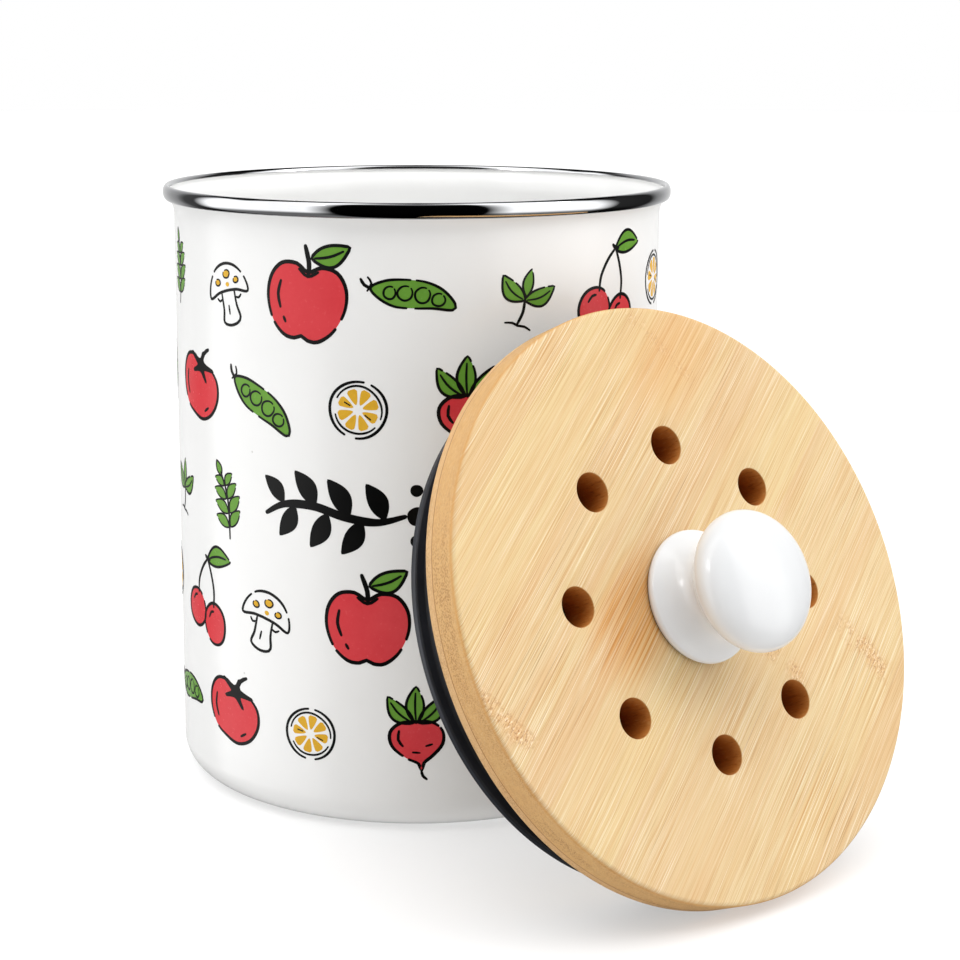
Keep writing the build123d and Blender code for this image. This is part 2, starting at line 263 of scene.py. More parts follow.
    # culm nodes: short broken fibres and a brown cast
    spots = None
    for na, b_lo, b_hi, wide, k in CULM:
        wob = mul(sub(m.noise(m.join(mul(b0, 120.0), na, 0.0), 1.0, 2.0), 0.5), 0.0075)
        da = m.math("ABSOLUTE", m.math("DIVIDE", sub(add(a, wob), na * MM), wide * MM))
        win = m.math("MINIMUM", m.step(b0, (b_lo - 3) * MM, (b_lo + 3) * MM), m.step(b0, (b_hi + 3) * MM, (b_hi - 3) * MM))
        broken = m.step(m.noise(m.join(mul(b0, 170.0), mul(a, 90.0), na), 1.0, 2.0, 0.6), 0.30, 0.54)
        k_ = mul(mul(m.step(da, 1.25, 0.15, a=0.0, b=k), win), broken)
        spots = k_ if spots is None else m.math("MAXIMUM", spots, k_)
    hatch = m.noise(m.join(mul(a, 700.0), mul(b0, 1700.0), 2.0), 1.0, 3.0, 0.7)
    hatch2 = m.noise(m.join(mul(a, 600.0), mul(b0, 1400.0), 7.0), 1.0, 3.0, 0.7)
    on_face = m.step(z, -0.0016, -0.0002)
    spots = mul(spots, on_face)
    col = m.mix(mul(spots, 0.34), col, lin("CB9357"))
    col = m.mix(mul(mul(m.step(hatch, 0.50, 0.60), spots), 0.75), col, lin("97612F"))
    col = m.mix(mul(mul(m.step(hatch2, 0.53, 0.63), spots), 0.85), col, lin("E9D6B4"))
    # on the sawn edge the plies show, and end grain is dotted with the cut bundles
    nx, ny, nz = m.lid_normal()
    along = m.math("ABSOLUTE", add(mul(nx, g0), mul(ny, g1)))
    side = m.step(m.math("ABSOLUTE", nz), 0.85, 0.30, a=0.0, b=1.0)
    cell = m.voronoi(m.join(mul(a, 160.0), mul(bo, 2300.0), mul(z, 2500.0)), 1.0)
    dots = m.step(cell, 0.58, 0.22)
    endg = mul(m.step(along, 0.20, 0.62), side)
    dense = m.noise(m.join(mul(bo, 34.0), mul(z, 230.0), mul(a, 10.0)), 1.0, 2.0)
    dense = m.step(dense, 0.40, 0.60, a=0.14, b=0.62)
    saw = m.noise(m.join(mul(a, 500.0), mul(b0, 500.0), mul(z, 1500.0)), 1.0, 3.0, 0.65)
    edge_col = m.ramp(mul(ply, 0.3), [(0.0, lin("CE9F60")), (0.28, lin("CE9F60")), (0.29, lin("D2A671")), (1.0, lin("CEA269"))], "CONSTANT")
    edge_col = m.mix(m.step(saw, 0.40, 0.66, a=0.0, b=0.45), edge_col, lin("B6864A"))
    edge_col = m.mix(m.step(dense, 0.22, 0.95, a=0.0, b=0.30), edge_col, lin("B3854C"))
    col = m.mix(mul(side, 0.78), col, edge_col)
    col = m.mix(mul(mul(dots, endg), dense), col, lin("875624"))
    # glue line between the plies
    wob = mul(sub(m.noise(m.join(x, y, 0.0), 40.0, 2.0), 0.5), 0.00030)
    for zg, k, wd in ((-0.0092, 0.85, 0.00020), (-0.0178, 0.5, 0.00014), (-0.0245, 0.5, 0.00014)):
        gl = m.step(m.math("ABSOLUTE", sub(add(z, wob), zg)), wd, wd * 0.4, a=0.0, b=k)
        col = m.mix(mul(gl, side), col, lin("8A5622"))
    # the cut front corner soaks up more oil
    col = m.mix(mul(mul(m.step(z, -0.0019, -0.0007), side), 0.55), col, lin("C58F4A"))
    if burnt:
        # bored holes: browned by the drill, torn fibres run down the wall, and the brown darkens deeper down the bore
        # as painted shade
        r1 = m.noise(m.join(mul(x, 1500.0), mul(y, 1500.0), mul(z, 260.0)), 1.0, 3.0, 0.65)
        r2 = m.noise(m.join(mul(x, 420.0), mul(y, 420.0), mul(z, 420.0)), 1.0, 3.0, 0.6)
        # colour darker with depth down the hole: painted shade in the bore
        bore_depth_shade = add(add(mul(z, -95.0), mul(r1, 0.50)), mul(sub(r2, 0.5), 0.5))
        br = m.ramp(bore_depth_shade, [(0.10, lin("C08449")), (0.36, lin("BC7838")), (0.70, lin("B26A28")), (1.0, lin("AC6224"))])
        br = m.mix(m.step(r1, 0.54, 0.72, a=0.0, b=0.55), br, lin("844714"))
        br = m.mix(m.step(r1, 0.44, 0.28, a=0.0, b=0.35), br, lin("C99356"))
        edge = m.step(add(z, mul(r1, 0.00020)), -0.00002, -0.00034)
        col = m.mix(edge, col, br)
    hgt = add(mul(fine, 0.5), mul(mid, 0.4))
    hgt = sub(hgt, mul(dk, 0.5))
    hgt = sub(hgt, mul(joint, 0.3))
    hgt = add(hgt, mul(mul(hatch, spots), 1.2))
    hgt = sub(hgt, mul(mul(dots, endg), 0.6))
    hgt = add(hgt, mul(mul(saw, side), 0.5))
    m.set(Base_Color=col, Roughness=add(0.44, mul(fine, 0.14)), Normal=m.bump(hgt, 0.30, 0.00010))
    m.b.inputs["Specular IOR Level"].default_value = 0.35
    return m.mat


# ---------------------------------------------------------------------------
# other materials
# ---------------------------------------------------------------------------
def enamel():
    m = Nodes("enamel_white")
    p = m.tc.outputs["Object"]
    n1 = m.noise(p, 28.0, 3.0, 0.5)
    n2 = m.noise(p, 420.0, 2.0, 0.5)
    x, y, z = m.xyz(p)
    r = m.math("SQRT", m.math("ADD", m.math("MULTIPLY", x, x), m.math("MULTIPLY", y, y)))
    col = m.ramp(n1, [(0.25, lin("ECECEB")), (0.75, lin("F0F0EF"))])
    # tiny specks that enamel always has
    v = m.voronoi(p, 62.0)
    sp = m.math("MULTIPLY", m.step(v, 0.030, 0.018), m.step(m.noise(p, 31.0, 0.0), 0.60, 0.66))
    col = m.mix(m.math("MULTIPLY", sp, 0.55), col, lin("B9B7B2"))
    # firing marks under the base, a little grey where the pot stood on its pins
    low = m.step(z, 0.0004, 0.0001)
    ring = m.math("MULTIPLY", low, m.step(m.math("ABSOLUTE", m.math("SUBTRACT", r, 0.063)), 0.0045, 0.001))
    scuff = m.noise(m.join(m.math("MULTIPLY", x, 90.0), m.math("MULTIPLY", y, 90.0), 0.0), 1.0, 5.0, 0.7)
    col = m.mix(m.math("MULTIPLY", m.math("MULTIPLY", ring, m.step(scuff, 0.48, 0.66)), 0.35), col, lin("B0AEA9"))
    h = m.math("ADD", m.math("MULTIPLY", n1, 1.0), m.math("MULTIPLY", n2, 0.06))
    m.set(Base_Color=col, Roughness=m.math("ADD", 0.15, m.math("MULTIPLY", n2, 0.05)), Normal=m.bump(h, 0.22, 0.00020))
    m.b.inputs["Specular IOR Level"].default_value = 0.38
    m.b.inputs["Coat Weight"].default_value = 0.12
    m.b.inputs["Coat Roughness"].default_value = 0.05
    return m.mat


def ink(name, hexes, rough=0.22):
    m = Nodes(name)
    p = m.tc.outputs["Object"]
    n1 = m.noise(p, 55.0, 3.0, 0.6)
    n2 = m.noise(p, 900.0, 2.0, 0.6)
    col = m.ramp(m.math("ADD", m.math("MULTIPLY", n1, 0.75), m.math("MULTIPLY", n2, 0.25)),
                 [(0.3, lin(hexes[0])), (0.7, lin(hexes[1]))])
    m.set(Base_Color=col, Roughness=m.math("ADD", rough, m.math("MULTIPLY", n2, 0.08)), Normal=m.bump(n1, 0.1, 0.00008))
    m.b.inputs["Specular IOR Level"].default_value = 0.18
    return m.mat


def metal(name, hexes, rough, brush=None, scratch=0.0, on_lid=True):
    m = Nodes(name)
    x, y, z = m.lid() if on_lid else m.xyz(m.tc.outputs["Object"])
    p = m.join(x, y, z)
    if brush == "ring":
        th = m.math("ARCTAN2", y, x)
        r = m.math("SQRT", m.math("ADD", m.math("MULTIPLY", x, x), m.math("MULTIPLY", y, y)))
        g = m.noise(m.join(m.math("MULTIPLY", th, 3.0), m.math("MULTIPLY", r, 9000.0), m.math("MULTIPLY", z, 9000.0)), 1.0, 3.0, 0.6)
    else:
        g = m.noise(m.vec("MULTIPLY", p, (420.0, 9000.0, 9000.0)), 1.0, 3.0, 0.6)
    big = m.noise(p, 60.0, 3.0, 0.6)
    col = m.ramp(m.math("ADD", m.math("MULTIPLY", g, 0.5), m.math("MULTIPLY", big, 0.5)),
                 [(0.3, lin(hexes[0])), (0.7, lin(hexes[1]))])
    m.set(Base_Color=col, Metallic=1.0, Roughness=m.math("ADD", rough, m.math("MULTIPLY", big, rough * 0.5)),
          Normal=m.bump(g, scratch, 0.00002))
    return m.mat


def rubber():
    m = Nodes("seal_rubber_black")
    x, y, z = m.lid()
    p = m.join(x, y, z)
    n1 = m.noise(p, 70.0, 3.0, 0.6)
    n2 = m.noise(p, 1500.0, 2.0, 0.6)
    th = m.math("ARCTAN2", y, x)
    flow = m.noise(m.join(m.math("MULTIPLY", th, 5.0), m.math("MULTIPLY", z, 2600.0), 0.0), 1.0, 2.0)
    col = m.ramp(n1, [(0.3, lin("1C1E24")), (0.7, lin("262931"))])
    dust = m.math("MULTIPLY", m.step(n2, 0.62, 0.75), 0.10)
    col = m.mix(dust, col, lin("55585C"))
    h = m.math("ADD", m.math("MULTIPLY", n2, 0.6), m.math("MULTIPLY", flow, 0.4))
    m.set(Base_Color=col, Roughness=m.math("ADD", 0.34, m.math("MULTIPLY", n1, 0.14)), Normal=m.bump(h, 0.15, 0.00006))
    return m.mat


def felt():
    m = Nodes("charcoal_felt_black")
    p = m.tc.outputs["Object"]
    n1 = m.noise(p, 120.0, 4.0, 0.65)
    fib = m.noise(m.vec("MULTIPLY", m.vec("ADD", p, m.vec("SCALE", m.noise(p, 300.0, 2.0), scale=0.004)), (2600.0, 900.0, 1800.0)), 1.0, 4.0, 0.7)
    fib2 = m.noise(m.vec("MULTIPLY", p, (700.0, 3000.0, 1800.0)), 1.0, 4.0, 0.7)
    v = m.voronoi(p, 950.0, "DISTANCE_TO_EDGE")
    mixn = m.math("MULTIPLY", m.math("ADD", fib, fib2), 0.5)
    col = m.ramp(mixn, [(0.35, lin("0D0D0F")), (0.55, lin("26272A")), (0.72, lin("4A4B4F"))])
    col = m.mix(m.step(n1, 0.5, 0.8, a=0.0, b=0.3), col, lin("34353A"))
    h = m.math("ADD", mixn, m.math("MULTIPLY", m.step(v, 0.0, 0.2), 0.4))
    m.set(Base_Color=col, Roughness=0.92, Normal=m.bump(h, 0.9, 0.00035))
    m.b.inputs["Sheen Weight"].default_value = 0.25
    m.b.inputs["Sheen Roughness"].default_value = 0.5
    return m.mat


def ceramic():
    m = Nodes("ceramic_white")
    x, y, z = m.lid()
    p = m.join(x, y, z)
    n1 = m.noise(p, 45.0, 3.0, 0.5)
    n2 = m.noise(p, 700.0, 2.0, 0.5)
    col = m.ramp(n1, [(0.25, lin("D8D9DA")), (0.75, lin("DDDEDF"))])
    v = m.voronoi(p, 130.0)
    col = m.mix(m.math("MULTIPLY", m.step(v, 0.035, 0.02), 0.25), col, lin("C9C4BC"))
    # unglazed foot
    foot = m.step(z, 0.0010, 0.0006)
    col = m.mix(foot, col, lin("D8D0C4"))
    rough = m.math("ADD", m.math("ADD", 0.20, m.math("MULTIPLY", n2, 0.05)), m.math("MULTIPLY", foot, 0.5))
    m.set(Base_Color=col, Roughness=rough, Normal=m.bump(m.math("ADD", n1, m.math("MULTIPLY", n2, 0.05)), 0.25, 0.00025))
    m.b.inputs["Coat Weight"].default_value = 0.35
    m.b.inputs["Coat Roughness"].default_value = 0.14
    return m.mat


MAT = {
    "bamboo": bamboo("bamboo"),
    "bamboo_bored": bamboo("bamboo_bored", burnt=True),
    "enamel": enamel(),
    "red": ink("print_ink_red", ("CF373E", "D64248")),
    "green": ink("print_ink_green", ("5E9033", "699C38")),
    "yellow": ink("print_ink_yellow", ("D5A126", "DFAF32")),
    "black": ink("print_ink_black", ("040404", "0A0A0A"), 0.34),
    "chrome": metal("rim_polished_steel", ("C8C9CB", "D8D9DB"), 0.035, "ring", 0.03, False),
    "clip": metal("clip_brushed_steel", ("A9ABAD", "C4C6C8"), 0.24, "line", 0.35),
    "screw": metal("screw_steel", ("9EA0A2", "BCBEC0"), 0.22, "ring", 0.3),
    "brass": metal("insert_brass", ("B38B45", "D0A860"), 0.25, "ring", 0.3),
    "rubber": rubber(),
    "felt": felt(),
    "ceramic": ceramic(),
}


# ---------------------------------------------------------------------------
# mesh helpers (profiles in millimetres)
# ---------------------------------------------------------------------------
def rounded(pts, closed=False, n=5):
    """Polyline of (r, z[, radius]) corners with arcs at the corners."""
    out, k = [], len(pts)
    for i, p in enumerate(pts):
        rad = p[2] if len(p) > 2 else 0.0
        if rad <= 0 or (not closed and i in (0, k - 1)):
            out.append((p[0], p[1]))
            continue
        a = Vector(pts[(i - 1) % k][:2])
        b = Vector(p[:2])
        c = Vector(pts[(i + 1) % k][:2])
        u, w = (a - b).normalized(), (c - b).normalized()
        ang = u.angle(w)
        if ang > pi - 0.02:
            out.append((p[0], p[1]))
            continue
        ka, kc = (0.49 if len(pts[(i + d) % k]) > 2 else 0.9995 for d in (-1, 1))
        t = min(rad / math.tan(ang / 2), ka * (a - b).length, kc * (c - b).length)
        rad = t * math.tan(ang / 2)
        mid = b + (u + w).normalized() * (rad / sin(ang / 2))
        s, e = b + u * t - mid, b + w * t - mid
        a0 = atan2(s.y, s.x)
        da = (atan2(e.y, e.x) - a0 + pi) % (2 * pi) - pi
        for j in range(n + 1):
            q = a0 + da * j / n
            out.append((mid.x + rad * cos(q), mid.y + rad * sin(q)))
    return out


def lathe_arrays(profile, segs, closed, flip=False):
    verts, rings = [], []
    for r, z in profile:
        if r < 1e-6:
            rings.append([len(verts)])
            verts.append((0.0, 0.0, z * MM))
        else:
            rings.append(list(range(len(verts), len(verts) + segs)))
            verts += [(r * MM * cos(2 * pi * k / segs), r * MM * sin(2 * pi * k / segs), z * MM) for k in range(segs)]
    faces = []
    pairs = list(zip(rings[:-1], rings[1:])) + ([(rings[-1], rings[0])] if closed else [])
    for A, B in pairs:
        for k in range(segs):
            j = (k + 1) % segs
            if len(A) == 1 and len(B) == 1:
                break
            if len(A) == 1:
                f = [A[0], B[j], B[k]]
            elif len(B) == 1:
                f = [A[k], A[j], B[0]]
            else:
                f = [A[k], A[j], B[j], B[k]]
            faces.append(f[::-1] if flip else f)
    return verts, faces


def make(name, verts, faces, mats, matrix=None, angle=38, mat_index=None, merge=None):
    me = bpy.data.meshes.new(name)
    me.from_pydata([tuple(v) for v in verts], [], faces)
    if matrix is not None:
        me.transform(matrix)
    for m in mats:
        me.materials.append(m)
    if mat_index is not None:
        me.polygons.foreach_set("material_index", mat_index)
    bm = bmesh.new()
    bm.from_mesh(me)
    if merge:
        bmesh.ops.remove_doubles(bm, verts=bm.verts, dist=merge)
    bmesh.ops.recalc_face_normals(bm, faces=bm.faces)
    bm.to_mesh(me)
    bm.free()
    me.shade_smooth()
    me.set_sharp_from_angle(angle=radians(angle))
    o = bpy.data.objects.new(name, me)
    bpy.context.scene.collection.objects.link(o)
    return o


def lathe(name, profile, mat, segs=256, closed=True, matrix=None, angle=38):
    v, f = lathe_arrays(profile, segs, closed)
    return make(name, v, f, [mat], matrix, angle)


def circle(r, n, cx=0.0, cy=0.0):
    return [(cx + r * cos(2 * pi * k / n), cy + r * sin(2 * pi * k / n)) for k in range(n)]


def plate(loops_out, holes, z, grid=None):
    """Triangles of a flat face with holes: vertices at (x, y, z) in metres."""
    pts, edges, hole_pts = [], [], []
    for loop in [loops_out] + holes:
        i0 = len(pts)
        pts += [Vector(p) for p in loop]
        edges += [(i0 + k, i0 + (k + 1) % len(loop)) for k in range(len(loop))]
    if grid:
        ro = max(hypot(*p) for p in loops_out)
        k = int(ro / grid) + 1
        for i in range(-k, k + 1):
            for j in range(-k, k + 1):
                q = ((i + 0.5 * (j % 2)) * grid, j * grid * 0.866)
                if hypot(*q) > ro - grid * 0.6:
                    continue
                if any(hypot(q[0] - sum(p[0] for p in h) / len(h), q[1] - sum(p[1] for p in h) / len(h))
                       < hypot(h[0][0] - sum(p[0] for p in h) / len(h), h[0][1] - sum(p[1] for p in h) / len(h)) + grid * 0.5 for h in holes):
                    continue
                pts.append(Vector(q))
    vo, _, fo, *_ = geometry.delaunay_2d_cdt(pts, edges, [], 0, 1e-5)
    cents = [(sum(p[0] for p in h) / len(h), sum(p[1] for p in h) / len(h)) for h in holes]
    rads = [hypot(h[0][0] - c[0], h[0][1] - c[1]) for h, c in zip(holes, cents)]
    keep = []
    for f in fo:
        mx = sum(vo[i].x for i in f) / 3
        my = sum(vo[i].y for i in f) / 3
        if any(hypot(mx - c[0], my - c[1]) < r * 0.9999 and all(hypot(vo[i].x - c[0], vo[i].y - c[1]) < r * 1.0005 for i in f)
               for c, r in zip(cents, rads)):
            continue
        keep.append(list(f))
    return [(v.x * MM, v.y * MM, z * MM) for v in vo], keep


def stack(parts):
    """Joins (verts, faces, material index) groups."""
    V_, F_, M_ = [], [], []
    for v, f, m in parts:
        o = len(V_)
        V_ += v
        F_ += [[i + o for i in q] for q in f]
        M_ += [m] * len(f)
    return V_, F_, M_


def shift(v, dx, dy):
    return [(p[0] + dx * MM, p[1] + dy * MM, p[2]) for p in v]


def from_cad(node, name, mat, bevel=0.12, segs=2, angle=32, seam=1.0):
    """A new piece from a CAD node's surface, with its sharp edges broken."""
    bm = bmesh.new()
    bm.from_mesh(nodes[node].data)
    bmesh.ops.remove_doubles(bm, verts=bm.verts, dist=2e-6)
    bmesh.ops.dissolve_limit(bm, angle_limit=radians(seam), verts=bm.verts, edges=bm.edges)
    sharp = [e for e in bm.edges if len(e.link_faces) == 2 and e.calc_face_angle(0) > radians(angle)]
    if bevel:
        bmesh.ops.bevel(bm, geom=sharp, offset=bevel * MM, offset_type="OFFSET", segments=segs, profile=0.5,
                        affect="EDGES", clamp_overlap=True)
    bmesh.ops.recalc_face_normals(bm, faces=bm.faces)
    me = bpy.data.meshes.new(name)
    bm.to_mesh(me)
    bm.free()
    me.materials.clear()
    me.materials.append(mat)
    for p in me.polygons:
        p.material_index = 0
    me.shade_smooth()
    me.set_sharp_from_angle(angle=radians(40))
    o = bpy.data.objects.new(name, me)
    bpy.context.scene.collection.objects.link(o)
    return o


def place(o, body, slot, *stands_for):
    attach(o, body)
    if stands_for:
        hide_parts(*stands_for)
    return o


# ---------------------------------------------------------------------------
# canister
# ---------------------------------------------------------------------------
R_WALL, T_WALL, H_RIM, FLARE, R_BEAD, BEAD_A, BEAD_B = 79.0, 0.8, 194.4, 9.5, 81.15, 1.30, 2.40
ZB = H_RIM - BEAD_B
ZF = H_RIM - FLARE


def tangent_curve(p0, p1, n=14):
    """An arc that leaves p0 straight up and ends at p1."""
    dx, dz = p1[0] - p0[0], p1[1] - p0[1]
    rad = (dx * dx + dz * dz) / (2 * dx)
    cx = p0[0] + rad
    a1 = atan2(p1[1] - p0[1], p1[0] - cx)
    return [(cx + rad * cos(pi + (a1 - pi) * k / n), p0[1] + rad * sin(pi + (a1 - pi) * k / n)) for k in range(n + 1)]


ri = R_WALL - T_WALL
body_profile = [(0, 0), (15, 0), (30, 0)]
body_profile += rounded([(30, 0), (45, 0, 1.6), (47, 1.2, 1.6), (53, 1.2, 1.6), (55, 0, 1.6), (64, 0)])[1:]
body_profile += [(69 + 10 * sin(pi / 2 * k / 12), 10 - 10 * cos(pi / 2 * k / 12)) for k in range(13)]
body_profile += [(R_WALL, 10 + (ZF - 10) * k / 24) for k in range(1, 24)]
body_profile += tangent_curve((R_WALL, ZF), (R_BEAD - 0.35, ZB - 1.3))
body_profile += [(R_BEAD - 0.20, ZB + 0.2), (R_BEAD - 0.35, ZB + 1.2), (R_BEAD - 0.9, ZB + 1.0)]
body_profile += tangent_curve((ri, ZF), (R_BEAD - 0.75, ZB + 0.25))[::-1]
body_profile += [(ri, 10 + (ZF - 10) * k / 24) for k in range(23, 0, -1)]
body_profile += [(69 + 9.2 * sin(pi / 2 * k / 12), 10 - 9.2 * cos(pi / 2 * k / 12)) for k in range(12, -1, -1)]
body_profile += rounded([(64, 0.8), (55.2, 0.8, 1.6), (53.2, 2.0, 1.6), (46.8, 2.0, 1.6), (44.8, 0.8, 1.6), (30, 0.8)])
body_profile += [(15, 0.8), (0, 0.8)]
shell = lathe("canister_body", body_profile, MAT["enamel"], 320, closed=False, angle=60)
place(shell, "canister", "enamel", "canister_shell")

# rim ring: a rolled C with soft ends, turned all round
arc = [radians(262 + (360 + 150 - 262) * k / 44) for k in range(45)]
outer = [(R_BEAD + BEAD_A * cos(t), ZB + BEAD_B * sin(t)) for t in arc]
inner = [(R_BEAD + (BEAD_A - 0.37) * cos(t), ZB + (BEAD_B - 0.37) * sin(t)) for t in arc][::-1]


def cap(p, q, n=4):
    cx, cz, r = (p[0] + q[0]) / 2, (p[1] + q[1]) / 2, hypot(p[0] - q[0], p[1] - q[1]) / 2
    a0 = atan2(p[1] - cz, p[0] - cx)
    return [(cx + r * cos(a0 - pi * k / n), cz + r * sin(a0 - pi * k / n)) for k in range(1, n)]


rim_profile = outer + [(cx, cz) for cx, cz in cap(outer[-1], inner[0])][::1] + inner + cap(inner[-1], outer[0])
rim = lathe("rim_ring", rim_profile, MAT["chrome"], 512, closed=True, angle=70)
place(rim, "canister", "rim_steel", "rim_trim")

# ---------------------------------------------------------------------------
# lid board
# ---------------------------------------------------------------------------
R_VENT, VENT_EASE, R_CIRCLE, PHASE, R_HOLE, R_CB, Z_CB = 5.75, 0.22, 45.3, 38.4, 2.3, 7.0, -8.4
vents = [(R_CIRCLE * cos(radians(PHASE + 45 * k)), R_CIRCLE * sin(radians(PHASE + 45 * k))) for k in range(8)]
SB, SV = 512, 72
parts = []
band = rounded([(R_BOARD - EDGE_FRONT - 0.001, 0), (R_BOARD, 0, EDGE_FRONT), (R_BOARD, -5.0), (R_BOARD, -9.8),
                (R_BOARD, -T_BOARD, EDGE_BACK), (R_BOARD - EDGE_BACK - 0.001, -T_BOARD)], n=8)
parts.append((*lathe_arrays(band, SB, False, True), 0))
fr = [circle(R_VENT + VENT_EASE, SV, *v) for v in vents]
parts.append((*plate(circle(R_BOARD - EDGE_FRONT - 0.001, SB), fr + [circle(R_HOLE, 40)], 0.0, 6.0), 0))
parts.append((*plate(circle(R_BOARD - EDGE_BACK - 0.001, SB), fr + [circle(R_CB, 64)], -T_BOARD, 6.0), 0))
wall = rounded([(R_VENT + VENT_EASE, 0), (R_VENT, -0.0, VENT_EASE), (R_VENT, -2), (R_VENT, -6), (R_VENT, -10),
                (R_VENT, -T_BOARD, VENT_EASE), (R_VENT + VENT_EASE, -T_BOARD)], n=3)
for vx, vy in vents:
    v, f = lathe_arrays(wall, SV, False)
    parts.append((shift(v, vx, vy), f, 1))
parts.append((*lathe_arrays([(R_CB, -T_BOARD), (R_CB, Z_CB)], 64, False), 0))
parts.append((*plate(circle(R_CB, 64), [circle(R_HOLE, 40)], Z_CB), 0))
parts.append((*lathe_arrays([(R_HOLE, Z_CB), (R_HOLE, 0)], 40, False), 0))
v, f, mi = stack(parts)
board = make("lid_board_bamboo", v, f, [MAT["bamboo"], MAT["bamboo_bored"]], LID, 30, mi, merge=2e-6)
place(board, "lid", "bamboo", "lid_board")

# plug ring
ZP = -T_BOARD
plug = lathe("lid_plug_ring", rounded([
    (55.0, ZP), (74.6, ZP), (74.6, ZP - 1.3, 0.25), (72.6, ZP - 1.3), (72.6, ZP - 18.1), (74.6, ZP - 18.1, 0.3),
    (74.6, ZP - 19.4, 0.7), (59.6, ZP - 19.4, 0.6), (59.6, ZP - 4.0), (55.0, ZP - 4.0, 0.3)], True, 5),
    MAT["bamboo"], 384, matrix=LID)
place(plug, "lid", "bamboo", "lid_plug")

# seal
s0, s1 = ZP - 1.35, ZP - 18.05
r0 = s1 + 0.1
seal = lathe("lid_seal_ring", rounded([
    (72.63, s0, 0.2), (75.6, s0, 0.4), (75.6, s0 - 1.4, 0.5), (78.7, s0 - 1.9, 0.5), (79.2, s0 - 2.5, 0.35),
    (79.2, s0 - 3.4, 0.35), (78.7, s0 - 3.9, 0.4), (75.6, s0 - 4.3, 0.6), (75.6, s0 - 7.2, 0.15), (75.85, s0 - 7.5, 0.15),
    (75.85, s0 - 8.1, 0.15), (75.6, s0 - 8.4, 0.15),
    (75.6, r0 + 3.2, 0.5), (76.2, r0 + 2.6, 0.3), (78.7, r0 + 2.6, 0.4), (79.2, r0 + 2.1, 0.4), (79.2, r0 + 0.5, 0.4),
    (78.7, r0, 0.4), (75.8, r0, 0.3), (75.6, s1, 0.2), (72.63, s1, 0.2)], True, 5), MAT["rubber"], 384, matrix=LID, angle=50)
place(seal, "lid", "seal_rubber", "lid_seal")

# filter: felt disc, its face pressed a little uneven
zf, tf = ZP - 4.1, 14.6
rng = np.random.default_rng(11)
fp = rounded([(0, zf), (59.0, zf, 1.6), (59.0, zf - tf, 1.6), (0, zf - tf)], n=7)
fine_prof = []
for p, q in zip(fp[:-1], fp[1:]):
    steps = max(1, int(hypot(q[0] - p[0], q[1] - p[1]) / 1.6))
    fine_prof += [(p[0] + (q[0] - p[0]) * k / steps, p[1] + (q[1] - p[1]) * k / steps) for k in range(steps)]
fine_prof.append(fp[-1])
v, f = lathe_arrays(fine_prof, 200, False)
v = np.array(v)
from mathutils import noise as mnoise
for i in range(len(v)):
    p = Vector(v[i]) / MM
    rad = hypot(p.x, p.y)
    k = (mnoise.noise(p * 0.35) * 0.10 + mnoise.noise(p * 1.7 + Vector((9, 3, 1))) * 0.07)
    if rad > 57.0:
        out = Vector((p.x, p.y, 0)).normalized()
        p = p + out * min(0.0, k - 0.12)
    if p.z < zf - tf + 0.9:
        p = p + Vector((0, 0, abs(k) + 0.02))
    elif p.z > zf - 0.9:
        p = p - Vector((0, 0, abs(k) + 0.02))
    v[i] = (p.x * MM, p.y * MM, p.z * MM)
filt = make("carbon_filter_felt", v, f, [MAT["felt"]], LID, 80)
place(filt, "lid", "charcoal_felt", "carbon_filter")

# clips and their screws
for i in (1, 2, 3):
    c = from_cad(f"filter_clip_{i}", f"filter_clip_{i}_plate", MAT["clip"], 0.14, 2, 25)
    place(c, f"clip_{i}", "clip_steel", f"filter_clip_{i}")
sc = from_cad("clip_screws", "clip_screw_set", MAT["screw"], 0.08, 1, 40)
place(sc, "lid", "clip_steel", "clip_screws")

# ---------------------------------------------------------------------------
# knob
# ---------------------------------------------------------------------------
PAD = 0.4
aj = radians(44)
HR, HB, HZ = 20.3, 10.5, 22.9
rj, zj = HR * cos(aj), HZ - HB * sin(aj)
tj = Vector((-HR * sin(aj), -HB * cos(aj))).normalized()


def hermite(p0, m0, p1, m1, n):
    out = []
    for k in range(n + 1):
        t = k / n
        h = (2 * t ** 3 - 3 * t ** 2 + 1, t ** 3 - 2 * t ** 2 + t, -2 * t ** 3 + 3 * t ** 2, t ** 3 - t ** 2)
        out.append((h[0] * p0[0] + h[1] * m0[0] + h[2] * p1[0] + h[3] * m1[0],
                    h[0] * p0[1] + h[1] * m0[1] + h[2] * p1[1] + h[3] * m1[1]))
    return out


knob_profile = [(4.05, PAD), (12, PAD)]
knob_profile += rounded([(12, PAD), (18.9, PAD, 0.5), (19.6, PAD + 1.5, 1.2), (19.3, PAD + 2.7, 1.0), (18.3, PAD + 3.4)], n=6)[1:-1]
knob_profile += hermite((18.3, PAD + 3.4), (-6.5, 4.0), (13.5, 8.6), (-3.0, 5.6), 10)
knob_profile += hermite((13.5, 8.6), (-1.3, 2.4), (12.6, 12.0), (0.9, 2.0), 8)[1:]
knob_profile += hermite((12.6, 12.0), (0.9, 2.0), (rj, zj), (-tj.x * 2.2, -tj.y * 2.2), 6)[1:]
knob_profile += [(HR * cos(-aj + (pi / 2 + aj) * k / 44), HZ + HB * sin(-aj + (pi / 2 + aj) * k / 44)) for k in range(1, 44)]
knob_profile += [(0, HZ + HB), (0, PAD + 15.6), (4.05, PAD + 15.6)]
knob = lathe("knob_ceramic", knob_profile, MAT["ceramic"], 256, closed=True, matrix=LID, angle=50)
place(knob, "lid", "white_ceramic", "knob")

pad = lathe("knob_pad_ring", rounded([(2.3, 0.02), (18.7, 0.02, 0.12), (18.7, 0.4, 0.15), (2.3, 0.4)], True, 3), MAT["rubber"], 160, matrix=LID)
place(pad, "lid", "seal_rubber", "knob_pad")

